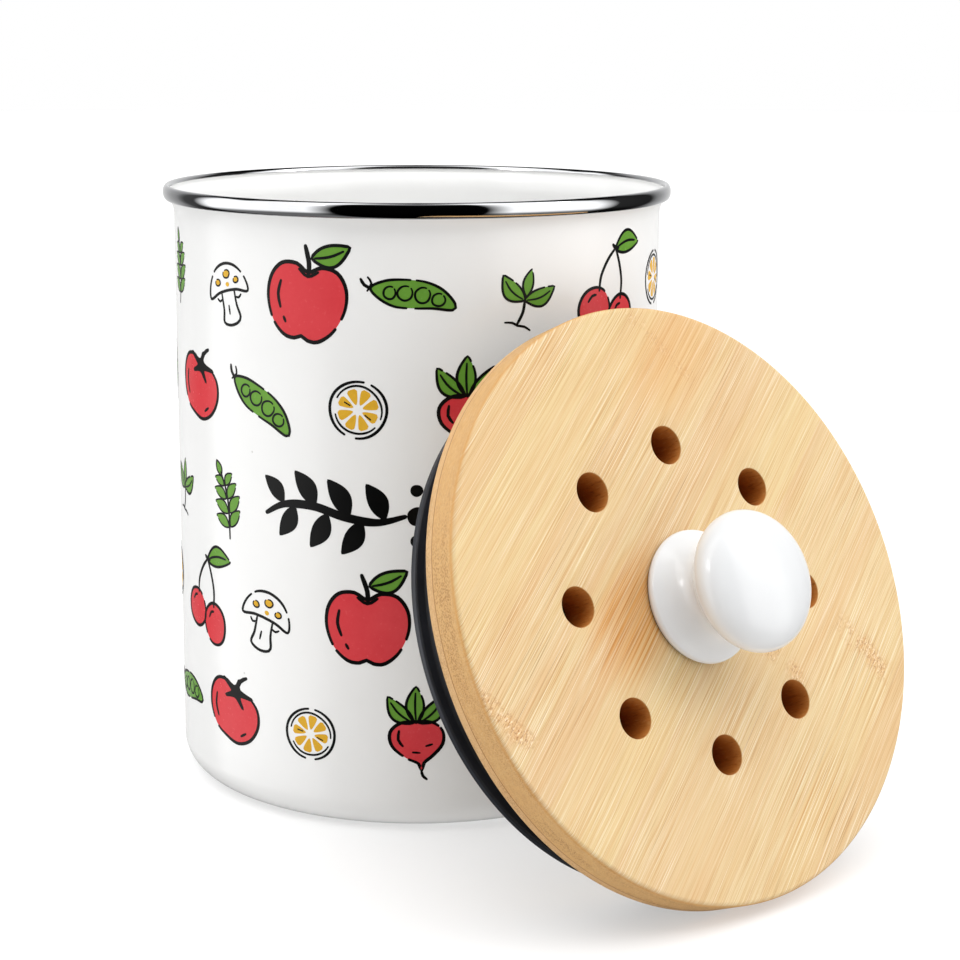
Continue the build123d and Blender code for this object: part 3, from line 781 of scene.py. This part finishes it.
for n_, m_ in (("knob_insert", "brass"), ("knob_screw", "screw"), ("knob_washer", "screw")):
    o = nodes[n_]
    o.data.materials.clear()
    o.data.materials.append(MAT[m_])

# ---------------------------------------------------------------------------
# printed pattern: thin ink films wrapped on the wall. Shapes are drawn flat,
# in millimetres, s to the right round the wall from the front and t up
# ---------------------------------------------------------------------------
def ccw(loop):
    a = sum(p[0] * q[1] - q[0] * p[1] for p, q in zip(loop, loop[1:] + loop[:1]))
    return loop if a > 0 else loop[::-1]


def spline(pts, closed=False, step=0.9):
    """Catmull-Rom through the points, sampled about every step."""
    n = len(pts)
    out = []
    rng_ = range(n) if closed else range(n - 1)
    for i in rng_:
        p0 = Vector(pts[(i - 1) % n] if closed or i > 0 else pts[0])
        p1, p2 = Vector(pts[i]), Vector(pts[(i + 1) % n])
        p3 = Vector(pts[(i + 2) % n] if closed or i + 2 < n else pts[-1])
        k = max(2, int((p2 - p1).length / step))
        for j in range(k):
            t = j / k
            q = 0.5 * ((2 * p1) + (p2 - p0) * t + (2 * p0 - 5 * p1 + 4 * p2 - p3) * t * t + (3 * p1 - p0 - 3 * p2 + p3) * t ** 3)
            out.append((q.x, q.y))
    if not closed:
        out.append(tuple(pts[-1]))
    return out


def stroke(pts, w=0.95, smooth=True, closed=False, ends=0.75):
    """A pen line as a closed loop (or two loops' ring when closed)."""
    line = spline(pts, closed) if smooth else list(pts)
    n = len(line)
    left, right = [], []
    for i, p in enumerate(line):
        a = Vector(line[(i - 1) % n] if closed or i > 0 else line[0])
        b = Vector(line[(i + 1) % n] if closed or i + 1 < n else line[-1])
        d = (b - a).normalized()
        t = i / max(1, n - 1)
        hw = w / 2 * (1.0 if closed else ends + (1 - ends) * min(1.0, 4 * min(t, 1 - t)))
        left.append((p[0] - d.y * hw, p[1] + d.x * hw))
        right.append((p[0] + d.y * hw, p[1] - d.x * hw))
    if closed:
        loops = []
        for i in range(n):
            j = (i + 1) % n
            loops.append(ccw([left[i], right[i], right[j], left[j]]))
        return loops
    d0 = (Vector(line[1]) - Vector(line[0])).normalized()
    d1 = (Vector(line[-1]) - Vector(line[-2])).normalized()

    def cap_(c, d, hw):
        a0 = atan2(d.y, d.x)
        return [(c[0] + hw * cos(a0 + q), c[1] + hw * sin(a0 + q)) for q in (radians(-50), 0, radians(50))]
    h0 = w / 2 * ends
    loop = right + cap_(line[-1], d1, h0) + left[::-1] + cap_(line[0], -d0, h0)
    return [ccw(loop)]


def blob(cx, cy, rx, ry=None, n=22, wob=0.03, seed=0, rot=0.0):
    ry = ry or rx
    r_ = random.Random(seed)
    ph = [r_.uniform(0, 2 * pi) for _ in range(3)]
    out = []
    for k in range(n):
        a = 2 * pi * k / n
        s = 1 + wob * (sin(2 * a + ph[0]) + 0.6 * sin(3 * a + ph[1]) + 0.3 * sin(5 * a + ph[2]))
        x, y = rx * s * cos(a), ry * s * sin(a)
        out.append((cx + x * cos(rot) - y * sin(rot), cy + x * sin(rot) + y * cos(rot)))
    return out


def leaf(base, tip, w, bend=0.0):
    b, t = Vector(base), Vector(tip)
    d = t - b
    nrm = Vector((-d.y, d.x)).normalized()
    up, dn = [], []
    for k in range(1, 8):
        q = k / 8
        c = b + d * q + nrm * bend * sin(pi * q)
        hw = w / 2 * (sin(pi * q) ** 0.8) * (1.12 - 0.3 * q)
        up.append(tuple(c + nrm * hw))
        dn.append(tuple(c - nrm * hw))
    return spline([tuple(b)] + dn + [tuple(t)] + up[::-1], True), [tuple(b + d * q + nrm * bend * sin(pi * q)) for q in (0.08, 0.3, 0.55, 0.82)]


def outline(loop, w=0.95, gaps=()):
    """A pen line round a loop, lifted off at the gaps (shares of its length)."""
    if not gaps:
        return stroke(loop, w, smooth=False, closed=True)
    n = len(loop)
    out = []
    marks = sorted(gaps)
    for i, (g, wd) in enumerate(marks):
        nxt = marks[(i + 1) % len(marks)][0] + (1 if i == len(marks) - 1 else 0)
        a, b = g + wd, nxt
        k0, k1 = int(a * n), int(b * n)
        seg = [loop[k % n] for k in range(k0, k1 + 1)]
        if len(seg) > 2:
            out += stroke(seg, w, smooth=False)
    return out


def motif_cherries():
    c1, c2 = spline(blob(-5.4, -6.2, 5.9, 5.7, seed=3), True), spline(blob(6.0, -7.9, 5.7, 5.9, seed=5), True)
    lf, vein = leaf((0.9, 10.0), (12.6, 12.6), 6.0, 1.2)
    red = [ccw(c1), ccw(c2)]
    green = [ccw(lf)]
    black = outline(c1, gaps=((0.10, 0.06),)) + outline(c2, gaps=((0.62, 0.07),)) + outline(lf, 0.8, gaps=((0.52, 0.03),))
    black += stroke([(-4.4, -1.4), (-4.2, 2.6), (-2.0, 7.0), (0.9, 10.2)]) + stroke([(5.2, -3.0), (5.0, 1.8), (3.2, 6.4), (0.9, 10.2)])
    black += stroke(vein, 0.7) + stroke([(-8.2, -4.6), (-7.0, -3.0), (-5.6, -2.6)], 0.8) + stroke([(3.0, -6.6), (3.8, -5.0), (5.2, -4.4)], 0.8)
    black += stroke([(-0.4, 10.9), (0.9, 10.2), (2.2, 10.3)], 1.1)
    return red, green, [], black


def motif_apple():
    pts = [(0, 6.0), (3.4, 7.6), (7.4, 7.0), (10.0, 3.4), (10.2, -1.6), (8.0, -6.8), (4.6, -9.8), (1.8, -10.0), (0, -9.2),
           (-1.8, -10.0), (-4.8, -9.6), (-8.2, -6.6), (-10.2, -1.4), (-9.8, 3.6), (-7.2, 7.0), (-3.2, 7.6)]
    c = spline(pts, True)
    lf, vein = leaf((0.6, 9.4), (9.6, 13.4), 5.2, -0.8)
    black = outline(c, gaps=((0.30, 0.04), (0.66, 0.03))) + outline(lf, 0.8) + stroke(vein, 0.7)
    black += stroke([(0.2, 5.2), (0.0, 8.2), (-1.4, 12.0)], 1.2) + stroke([(-2.4, 6.4), (0.1, 5.0), (2.6, 6.4)], 0.8)
    black += stroke([(-7.0, 2.8), (-7.4, -0.4), (-6.4, -3.4)], 0.85) + stroke([(-5.2, -5.6), (-4.6, -6.6)], 0.8)
    return [ccw(c)], [ccw(lf)], [], black


def motif_pod():
    top = [(-13.6, 3.6), (-8.6, 5.4), (-2.4, 5.2), (4.4, 3.8), (9.8, 0.6), (13.2, -4.2)]
    bot = [(12.2, -6.2), (6.0, -5.0), (0.2, -4.4), (-6.4, -3.2), (-11.4, 0.0)]
    c = spline(top + bot, True)
    peas = [spline(blob(x, y, r, seed=i), True, 0.7) for i, (x, y, r) in
            enumerate([(-7.6, 1.4, 2.0), (-2.6, 0.8, 2.4), (3.0, -0.4, 2.5), (8.0, -2.4, 2.1)])]
    black = outline(c, gaps=((0.22, 0.03), (0.74, 0.04)))
    for p in peas:
        black += outline(p, 0.75, gaps=((0.1, 0.08),))
    black += stroke([(-13.6, 3.4), (-15.6, 4.6), (-16.6, 6.6)], 1.1) + stroke([(-14.8, 2.6), (-13.2, 5.0), (-14.2, 7.0)], 0.8)
    return [], [ccw(c)], [], black


def motif_wheel():
    yellow, black = [], []
    for k in range(8):
        a0, a1 = radians(45 * k + 7), radians(45 * k + 38)
        am = (a0 + a1) / 2
        pts = [(1.6 * cos(am), 1.6 * sin(am)), (6.1 * cos(a0), 6.1 * sin(a0)), (6.6 * cos(am), 6.6 * sin(am)), (6.1 * cos(a1), 6.1 * sin(a1))]
        yellow.append(ccw(spline(pts, True, 0.7)))
    c = spline(blob(0, 0, 9.0, seed=8, wob=0.012), True)
    c2 = spline(blob(0, 0, 7.5, seed=9, wob=0.015), True)
    black += outline(c, gaps=((0.2, 0.04), (0.7, 0.05))) + outline(c2, 0.7, gaps=((0.45, 0.10), (0.9, 0.06)))
    black += stroke([(-2.6, 1.2), (-4.4, 2.0)], 0.6, False) + stroke([(2.4, -1.4), (4.2, -2.6)], 0.6, False)
    return [], [], yellow, black


def motif_tomato():
    c = spline([(0, 5.6), (4.4, 6.8), (8.8, 5.0), (10.6, 0.6), (9.2, -4.4), (5.2, -7.8), (0, -8.4), (-5.2, -7.8), (-9.2, -4.4),
                (-10.6, 0.6), (-8.8, 5.0), (-4.4, 6.8)], True)
    star = []
    for k in range(5):
        a = radians(90 + 72 * k)
        b = a + radians(36)
        star += [(7.0 * cos(a) * 0.95, 5.6 + 3.9 * sin(a)), (1.9 * cos(b), 5.6 + 1.5 * sin(b))]
    s = spline(star, True, 0.7)
    black = outline(c, gaps=((0.08, 0.05), (0.58, 0.04))) + outline(s, 0.75)
    black += stroke([(0, 6.0), (0.6, 9.4), (2.4, 11.4)], 1.2) + stroke([(-7.8, 0.6), (-7.2, -2.6), (-5.2, -5.0)], 0.85)
    black += stroke([(5.6, -5.2), (7.0, -3.6)], 0.8)
    return [ccw(c)], [ccw(s)], [], black


def motif_sprig():
    stem = [(-2.0, -12.6), (-0.6, -6.0), (0.4, 0.0), (0.2, 6.0), (-1.0, 11.4)]
    green, black = [], stroke(stem, 0.95)
    for k, (y, l, w) in enumerate([(-8.4, 8.2, 4.2), (-3.4, 8.4, 4.4), (1.8, 7.6, 4.0), (6.6, 6.0, 3.4)]):
        x = 0.1 if k else -0.9
        for s in (-1, 1):
            lf, vein = leaf((x + 0.5 * s, y), (x + s * l * 0.86, y + l * 0.62), w, 0.5 * s)
            green.append(ccw(lf))
            black += outline(lf, 0.65, gaps=((0.42 if s > 0 else 0.56, 0.06),))
    lf, vein = leaf((-1.0, 10.4), (-2.6, 16.0), 3.2)
    green.append(ccw(lf))
    black += outline(lf, 0.65)
    return [], green, [], black


def motif_mushroom():
    cap_ = spline([(-9.6, -1.0), (-8.6, 3.6), (-4.8, 7.6), (0.4, 8.8), (5.4, 7.2), (8.8, 3.2), (9.4, -1.4), (4.6, -0.2), (0, 0.2), (-4.6, 0)], True)
    stem = [(-3.2, -0.6), (-3.4, -5.6), (-4.2, -9.4), (-1.0, -10.8), (2.4, -10.4), (4.0, -8.8), (3.2, -4.8), (3.2, -0.6)]
    black = outline(cap_, gaps=((0.16, 0.04), (0.48, 0.03))) + stroke(stem)
    black += stroke([(-5.8, -1.6), (-4.8, -2.6), (-3.6, -2.2)], 0.75) + stroke([(3.6, -2.4), (4.8, -2.8), (6.0, -2.0)], 0.75)
    black += stroke([(-0.6, -4.6), (-0.8, -7.2)], 0.75)
    yellow = [ccw(spline(blob(x, y, r, r * 0.8, seed=int(9 * x + 50)), True, 0.6)) for x, y, r in ((-4.4, 3.4, 1.3), (0.6, 5.4, 1.6), (4.8, 2.9, 1.2), (0.4, 2.1, 0.9))]
    for x, y, r in ((-4.4, 3.4, 1.3), (0.6, 5.4, 1.6), (4.8, 2.9, 1.2)):
        black += outline(spline(blob(x, y, r, r * 0.8, seed=int(9 * x + 50)), True, 0.6), 0.55, gaps=((0.3, 0.12),))
    return [], [], yellow, black


def motif_radish():
    root = spline([(0.0, 3.2), (4.2, 2.9), (6.9, 0.4), (6.8, -3.2), (4.2, -6.2), (1.7, -8.2), (0.9, -10.6), (0.2, -8.4), (-3.2, -6.6),
                   (-6.6, -3.4), (-7.0, 0.4), (-4.2, 2.9)], True)
    black = outline(root, gaps=((0.14, 0.04), (0.60, 0.05)))
    green = []
    for tip, w, bd in (((-7.2, 10.2), 4.6, 1.0), ((0.4, 12.8), 4.8, 0.3), ((7.4, 9.8), 4.6, -1.0)):
        lf, vein = leaf((tip[0] * 0.10, 2.9), tip, w, bd)
        green.append(ccw(lf))
        black += outline(lf, 0.75, gaps=((0.40, 0.04),)) + stroke(vein, 0.6)
    black += stroke([(0.9, -10.4), (1.2, -11.8), (2.2, -12.8)], 0.8) + stroke([(-4.6, 0.8), (-4.9, -1.6), (-3.8, -3.4)], 0.8)
    black += stroke([(2.4, -3.6), (4.0, -3.2)], 0.65) + stroke([(-1.2, -5.2), (0.6, -5.4)], 0.65)
    return [ccw(root)], green, [], black


def motif_sprout():
    l1, v1 = leaf((0.0, -0.6), (-9.4, 4.8), 5.8, 1.3)
    l2, v2 = leaf((0.0, -0.6), (9.0, 6.2), 5.6, -1.3)
    l3, _ = leaf((0.2, 0.6), (-0.6, 9.2), 3.6, 0.3)
    black = outline(l1, 0.8, gaps=((0.30, 0.05),)) + outline(l2, 0.8, gaps=((0.62, 0.05),)) + outline(l3, 0.75, gaps=((0.45, 0.05),))
    black += stroke(v1, 0.65) + stroke(v2, 0.65) + stroke([(0.0, -0.6), (0.5, -4.4), (-0.3, -8.6)], 1.0)
    black += stroke([(-4.4, -9.0), (-2.0, -8.4), (0.0, -8.8), (2.4, -8.5), (4.6, -9.1)], 0.75)
    return [], [ccw(l1), ccw(l2), ccw(l3)], [], black


def garland():
    """A bold leafy branch, mirrored about the front."""
    black = []
    for s in (-1, 1):
        line = [(s * x, y) for x, y in [(3.5, -0.6), (12, -2.6), (22, -1.4), (32, 1.2), (42, 1.0), (49, -2.4)]]
        black += stroke(line, 2.7, ends=0.5)
        for x, y, l, w, a in [(9.5, -1.8, 12.5, 6.4, 62), (16.5, -2.4, 12.5, 6.4, -58), (20.5, -1.2, 13.2, 6.6, 58), (27.5, -0.6, 12.5, 6.4, -62),
                              (31.5, 1.4, 12.5, 6.4, 56), (38.5, 0.8, 11.5, 6.0, -60), (42.5, 1.4, 10.5, 5.4, 48)]:
            q = radians(a)
            lf, _ = leaf((s * x, y), (s * (x + l * cos(q)), y + l * sin(q)), w, 0.7 * s * (1 if a > 0 else -1))
            black.append(ccw(lf))
    black.append(ccw(spline(blob(0, -0.5, 2.9, seed=2), True)))
    for x, y in ((0, 7.4), (0, -8.2)):
        black.append(ccw(spline(blob(x, y, 1.9, seed=4), True)))
    return [], [], [], black


def triangles(loops, pitch=2.3):
    """Union of loops as triangles, with inner points so that it can follow the wall."""
    pts, faces = [], []
    for loop in loops:
        clean = [loop[0]]
        for p in loop[1:]:
            if hypot(p[0] - clean[-1][0], p[1] - clean[-1][1]) > 0.04:
                clean.append(p)
        if hypot(clean[0][0] - clean[-1][0], clean[0][1] - clean[-1][1]) < 0.04:
            clean.pop()
        if len(clean) < 3:
            continue
        i0 = len(pts)
        pts += [Vector(p) for p in clean]
        faces.append(list(range(i0, i0 + len(clean))))
    if not faces:
        return [], []
    xs, ys = [p.x for p in pts], [p.y for p in pts]
    for i in range(int(min(xs) / pitch) - 1, int(max(xs) / pitch) + 2):
        for j in range(int(min(ys) / pitch) - 1, int(max(ys) / pitch) + 2):
            pts.append(Vector(((i + 0.5 * (j % 2)) * pitch, j * pitch)))
    vo, _, fo, _, _, src = geometry.delaunay_2d_cdt(pts, [], faces, 1, 1e-4)
    fo = [f_ for f_, o_ in zip(fo, src) if len(o_)]
    used = sorted({i for f_ in fo for i in f_})
    re = {i: k for k, i in enumerate(used)}
    return [(vo[i].x, vo[i].y) for i in used], [[re[i] for i in f_] for f_ in fo]


MOTIFS = [motif_cherries, motif_apple, motif_pod, motif_wheel, motif_tomato, motif_sprig, motif_mushroom, motif_radish, motif_sprout]
SIZES = [1.14, 1.24, 0.92, 0.94, 1.18, 0.84, 0.98, 1.18, 0.98]
flat = [[triangles(g) for g in fn()] for fn in MOTIFS]
gar = [triangles(g) for g in garland()]
CALM = {"red": (0, 78.94, 79.030), "green": (1, 78.94, 79.030), "yellow": (2, 78.94, 79.030), "black": (3, 78.93, 79.055)}
rows = [(167.0, 0.0), (133.5, 0.5), (100.0, 0.0), (65.5, 0.5), (31.5, 0.0)]
order = [[1, 3, 7, 2, 5, 6, 1, 2, 8, 0, 3, 5, 4, 6, 8], [6, 0, 8, 5, 4, 2, 3, 7, 5, 6, 1, 3, 0, 2, 8],
         [3, 1, 5, 6, 8, 5, 1, 3, 6, 2, 7, 8, 1, 6, 4], [2, 7, 6, 3, 0, 6, 1, 8, 5, 4, 2, 3, 7, 5, 1],
         [8, 3, 1, 5, 2, 4, 3, 7, 5, 6, 0, 2, 8, 4, 6]]
spots = []
for ri_, (zc, off) in enumerate(rows):
    for k in range(15):
        s = (k - 7 + off) * 496.37 / 15
        s = (s + 248.18) % 496.37 - 248.18
        s += random.uniform(-1.6, 1.6)
        if ri_ == 2 and abs(s) < 62:
            continue
        kind = order[ri_][k]
        spots.append((s, zc + random.uniform(-1.8, 1.8), radians(random.uniform(-20, 20)), kind, SIZES[kind] * random.uniform(0.96, 1.04)))
acc = {c: ([], []) for c in CALM}


def wrap(group, s, zc, rot, scale):
    for colour, (gi, r_in, r_out) in CALM.items():
        pv, pf = group[gi]
        if not pf:
            continue
        V_, F_ = acc[colour]
        base, n = len(V_), len(pv)
        cr, sr = cos(rot) * scale, sin(rot) * scale
        for rad in (r_out, r_in):
            for x, y in pv:
                th = (s + x * cr - y * sr) / 79.0
                V_.append((rad * sin(th) * MM, -rad * cos(th) * MM, (zc + x * sr + y * cr) * MM))
        edge = {}
        for tri in pf:
            a, b, c = tri
            F_.append([base + a, base + b, base + c])
            F_.append([base + n + c, base + n + b, base + n + a])
            for e in ((a, b), (b, c), (c, a)):
                edge[e] = edge.get(e, 0) + 1
        for (a, b) in edge:
            if (b, a) not in edge:
                F_.append([base + a, base + n + a, base + n + b, base + b])


for s, zc, rot, kind, scale in spots:
    wrap(flat[kind], s, zc, rot, scale)
wrap(gar, 0.0, 101.0, 0.0, 1.0)
for colour, (V_, F_) in acc.items():
    o = make(f"print_{colour}", V_, F_, [MAT[colour]], None, 30)
    place(o, "canister", "enamel")

# ---------------------------------------------------------------------------
# floor, light, camera
# ---------------------------------------------------------------------------
fm = Nodes("floor_white")
fn_ = fm.noise(fm.tc.outputs["Object"], 6.0, 3.0)
fm.set(Base_Color=fm.ramp(fn_, [(0.3, (0.49, 0.49, 0.49, 1)), (0.7, (0.51, 0.51, 0.51, 1))]), Roughness=0.6)
fm.b.inputs["Emission Color"].default_value = (1.0, 1.0, 1.0, 1.0)
fm.b.inputs["Emission Strength"].default_value = 0.44
fm.b.inputs["Specular IOR Level"].default_value = 0.2
fv, ff = [], []
for k in range(96):
    fv.append((5.0 * cos(2 * pi * k / 96), 5.0 * sin(2 * pi * k / 96), -0.00002))
ff.append(list(range(96)))
floor = make("floor", fv, ff, [fm.mat])
floor.visible_glossy = False

world = bpy.data.worlds.new("studio")
bpy.context.scene.world = world
world.use_nodes = True
wt = world.node_tree
wt.nodes.clear()
wo = wt.nodes.new("ShaderNodeOutputWorld")


def wnode(kind, **kw):
    n = wt.nodes.new(kind)
    for k, v_ in kw.items():
        setattr(n, k, v_)
    return n


def wmath(op, a, b=None):
    n = wnode("ShaderNodeMath", operation=op)
    for i, v_ in enumerate((a, b)):
        if v_ is None:
            continue
        if isinstance(v_, bpy.types.NodeSocket):
            wt.links.new(v_, n.inputs[i])
        else:
            n.inputs[i].default_value = v_
    return n.outputs[0]


def wstep(v_, lo, hi, a=0.0, b=1.0):
    n = wnode("ShaderNodeMapRange", interpolation_type="SMOOTHSTEP")
    wt.links.new(v_, n.inputs["Value"])
    for k_, q_ in (("From Min", lo), ("From Max", hi), ("To Min", a), ("To Max", b)):
        n.inputs[k_].default_value = q_
    return n.outputs[0]


def wramp(fac, stops):
    n = wnode("ShaderNodeValToRGB")
    el = n.color_ramp.elements
    while len(el) < len(stops):
        el.new(0.5)
    for e, (p_, c_) in zip(el, stops):
        e.position = (p_ + 180) / 360
        e.color = (c_, c_, c_, 1)
    wt.links.new(fac, n.inputs[0])
    return n.outputs[0]


tcw = wnode("ShaderNodeTexCoord")
sep = wnode("ShaderNodeSeparateXYZ")
wt.links.new(tcw.outputs["Generated"], sep.inputs[0])
wx, wy, wz = sep.outputs
az = wmath("ARCTAN2", wx, wmath("MULTIPLY", wy, -1.0))     # 0 towards -Y, + to +X
azn = wmath("ADD", wmath("DIVIDE", az, 2 * pi), 0.5)       # 0..1 from -180 to 180
# what gloss mirrors: a white cyclorama with black flags at the front and the sides
wall_ = wramp(azn, [(-180, 0.80), (-168, 0.75), (-154, 0.60), (-142, 0.42), (-136, 0.34), (-131, 0.17), (-127, 0.08), (-117, 0.06), (-107, 1.6),
                    (-50, 1.6), (-38, 0.001), (31, 0.001), (43, 1.6), (88, 1.6), (101, 0.03), (129, 0.02), (136, 0.28),
                    (150, 0.56), (165, 0.75), (180, 0.80)])
low = wstep(wz, -0.56, -0.27, 0.12, 1.0)
high = wstep(wz, 0.78, 0.84, 0.0, 0.22)
back_high = wmath("MULTIPLY", wstep(wy, -0.02, 0.10), wstep(wz, 0.50, 0.62))
g_ = wmath("MULTIPLY", wmath("ADD", wmath("MULTIPLY", wall_, low), high), wmath("SUBTRACT", 1.0, wmath("MULTIPLY", back_high, 0.98)))
for a_, e_, k_ in ((72.0, 36.5, 11.0), (-56.6, 37.6, 8.0)):
    a_, e_ = radians(a_), radians(e_)
    dn = wnode("ShaderNodeVectorMath", operation="DOT_PRODUCT")
    wt.links.new(tcw.outputs["Generated"], dn.inputs[0])
    dn.inputs[1].default_value = (sin(a_) * cos(e_), -cos(a_) * cos(e_), sin(e_))
    g_ = wmath("ADD", g_, wstep(dn.outputs["Value"], cos(radians(9.0)), cos(radians(3.0)), 0.0, k_))
glossy = wnode("ShaderNodeBackground")
wt.links.new(g_, glossy.inputs[0])
glossy.inputs[1].default_value = 1.0
# what lights the surfaces: two wide soft sides, a soft ceiling, little from behind the camera
soft_low = wmath("MULTIPLY", wramp(azn, [(a_, v_ / 2.2) for a_, v_ in (
    (-180, 0.40), (-130, 2.30), (-90, 1.60), (-50, 0.13), (0, 0.0), (50, 0.61), (90, 1.51), (130, 1.95), (180, 0.40))]), 2.2)
soft_mid = wmath("MULTIPLY", wramp(azn, [(a_, v_ / 2.2) for a_, v_ in (
    (-180, 0.50), (-130, 2.10), (-90, 1.65), (-50, 0.76), (0, 0.40), (50, 0.99), (90, 1.50), (130, 1.65), (180, 0.50))]), 2.2)
up1, up2 = wstep(wz, 0.30, 0.60), wstep(wz, 0.62, 0.88)
ceiling = wstep(wy, 0.3, -0.3, 2.00, 2.95)
lit = wmath("MULTIPLY", soft_low, wmath("SUBTRACT", 1.0, up1))
lit = wmath("ADD", lit, wmath("MULTIPLY", soft_mid, wmath("MULTIPLY", up1, wmath("SUBTRACT", 1.0, up2))))
lit = wmath("ADD", lit, wmath("MULTIPLY", ceiling, up2))
plain = wnode("ShaderNodeBackground")
wt.links.new(lit, plain.inputs[0])
plain.inputs[1].default_value = 1.0
seen = wnode("ShaderNodeBackground")
seen.inputs[0].default_value = (1.0, 1.0, 1.0, 1)
seen.inputs[1].default_value = 1.0
lp = wnode("ShaderNodeLightPath")
m1 = wnode("ShaderNodeMixShader")
wt.links.new(lp.outputs["Is Glossy Ray"], m1.inputs[0])
wt.links.new(plain.outputs[0], m1.inputs[1])
wt.links.new(glossy.outputs[0], m1.inputs[2])
m2 = wnode("ShaderNodeMixShader")
wt.links.new(lp.outputs["Is Camera Ray"], m2.inputs[0])
wt.links.new(m1.outputs[0], m2.inputs[1])
wt.links.new(seen.outputs[0], m2.inputs[2])
wt.links.new(m2.outputs[0], wo.inputs[0])


def softbox(name, loc, target, size, power):
    l_ = bpy.data.lights.new(name, "AREA")
    l_.shape = "RECTANGLE"
    l_.size, l_.size_y = size
    l_.energy = power
    o = bpy.data.objects.new(name, l_)
    bpy.context.scene.collection.objects.link(o)
    o.location = loc
    o.rotation_euler = (Vector(target) - Vector(loc)).to_track_quat("-Z", "Y").to_euler()
    o.visible_glossy = False
    return o


softbox("key", (1.27, -0.45, 1.05), (0.05, -0.08, 0.10), (0.8, 0.8), 4.3)
softbox("fill", (-1.15, -0.75, 1.0), (0.0, 0.0, 0.10), (1.0, 1.0), 0.25)
# a narrow soft light that passes over the near rim and opens up the inside
sl = bpy.data.lights.new("inside", "SPOT")
sl.energy = 10.0
sl.shadow_soft_size = 0.04
sl.spot_size = 0.118
sl.spot_blend = 1.0
so = bpy.data.objects.new("inside", sl)
bpy.context.scene.collection.objects.link(so)
so.location = (0.02, -0.90, 0.75)
so.rotation_euler = (Vector((0.012, 0.075, 0.186)) - Vector(so.location)).to_track_quat("-Z", "Y").to_euler()
so.visible_glossy = False

cam = bpy.data.cameras.new("camera")
cam.sensor_width = 36.0
cam.lens = 2213.2 * 36.0 / 960.0
cam.shift_x = (480.0 - 416.79) / 960.0
cam.clip_start, cam.clip_end = 0.01, 50.0
co = bpy.data.objects.new("camera", cam)
bpy.context.scene.collection.objects.link(co)
co.location = (0.0, -0.72656, 0.24905)
co.rotation_euler = (radians(90 - 11.973), 0.0, 0.0)
bpy.context.scene.camera = co

vs = bpy.context.scene.view_settings
vs.view_transform = "Standard"
vs.look = "None"
vs.exposure = 0.0
vs.gamma = 1.0

bpy.context.view_layer.update()
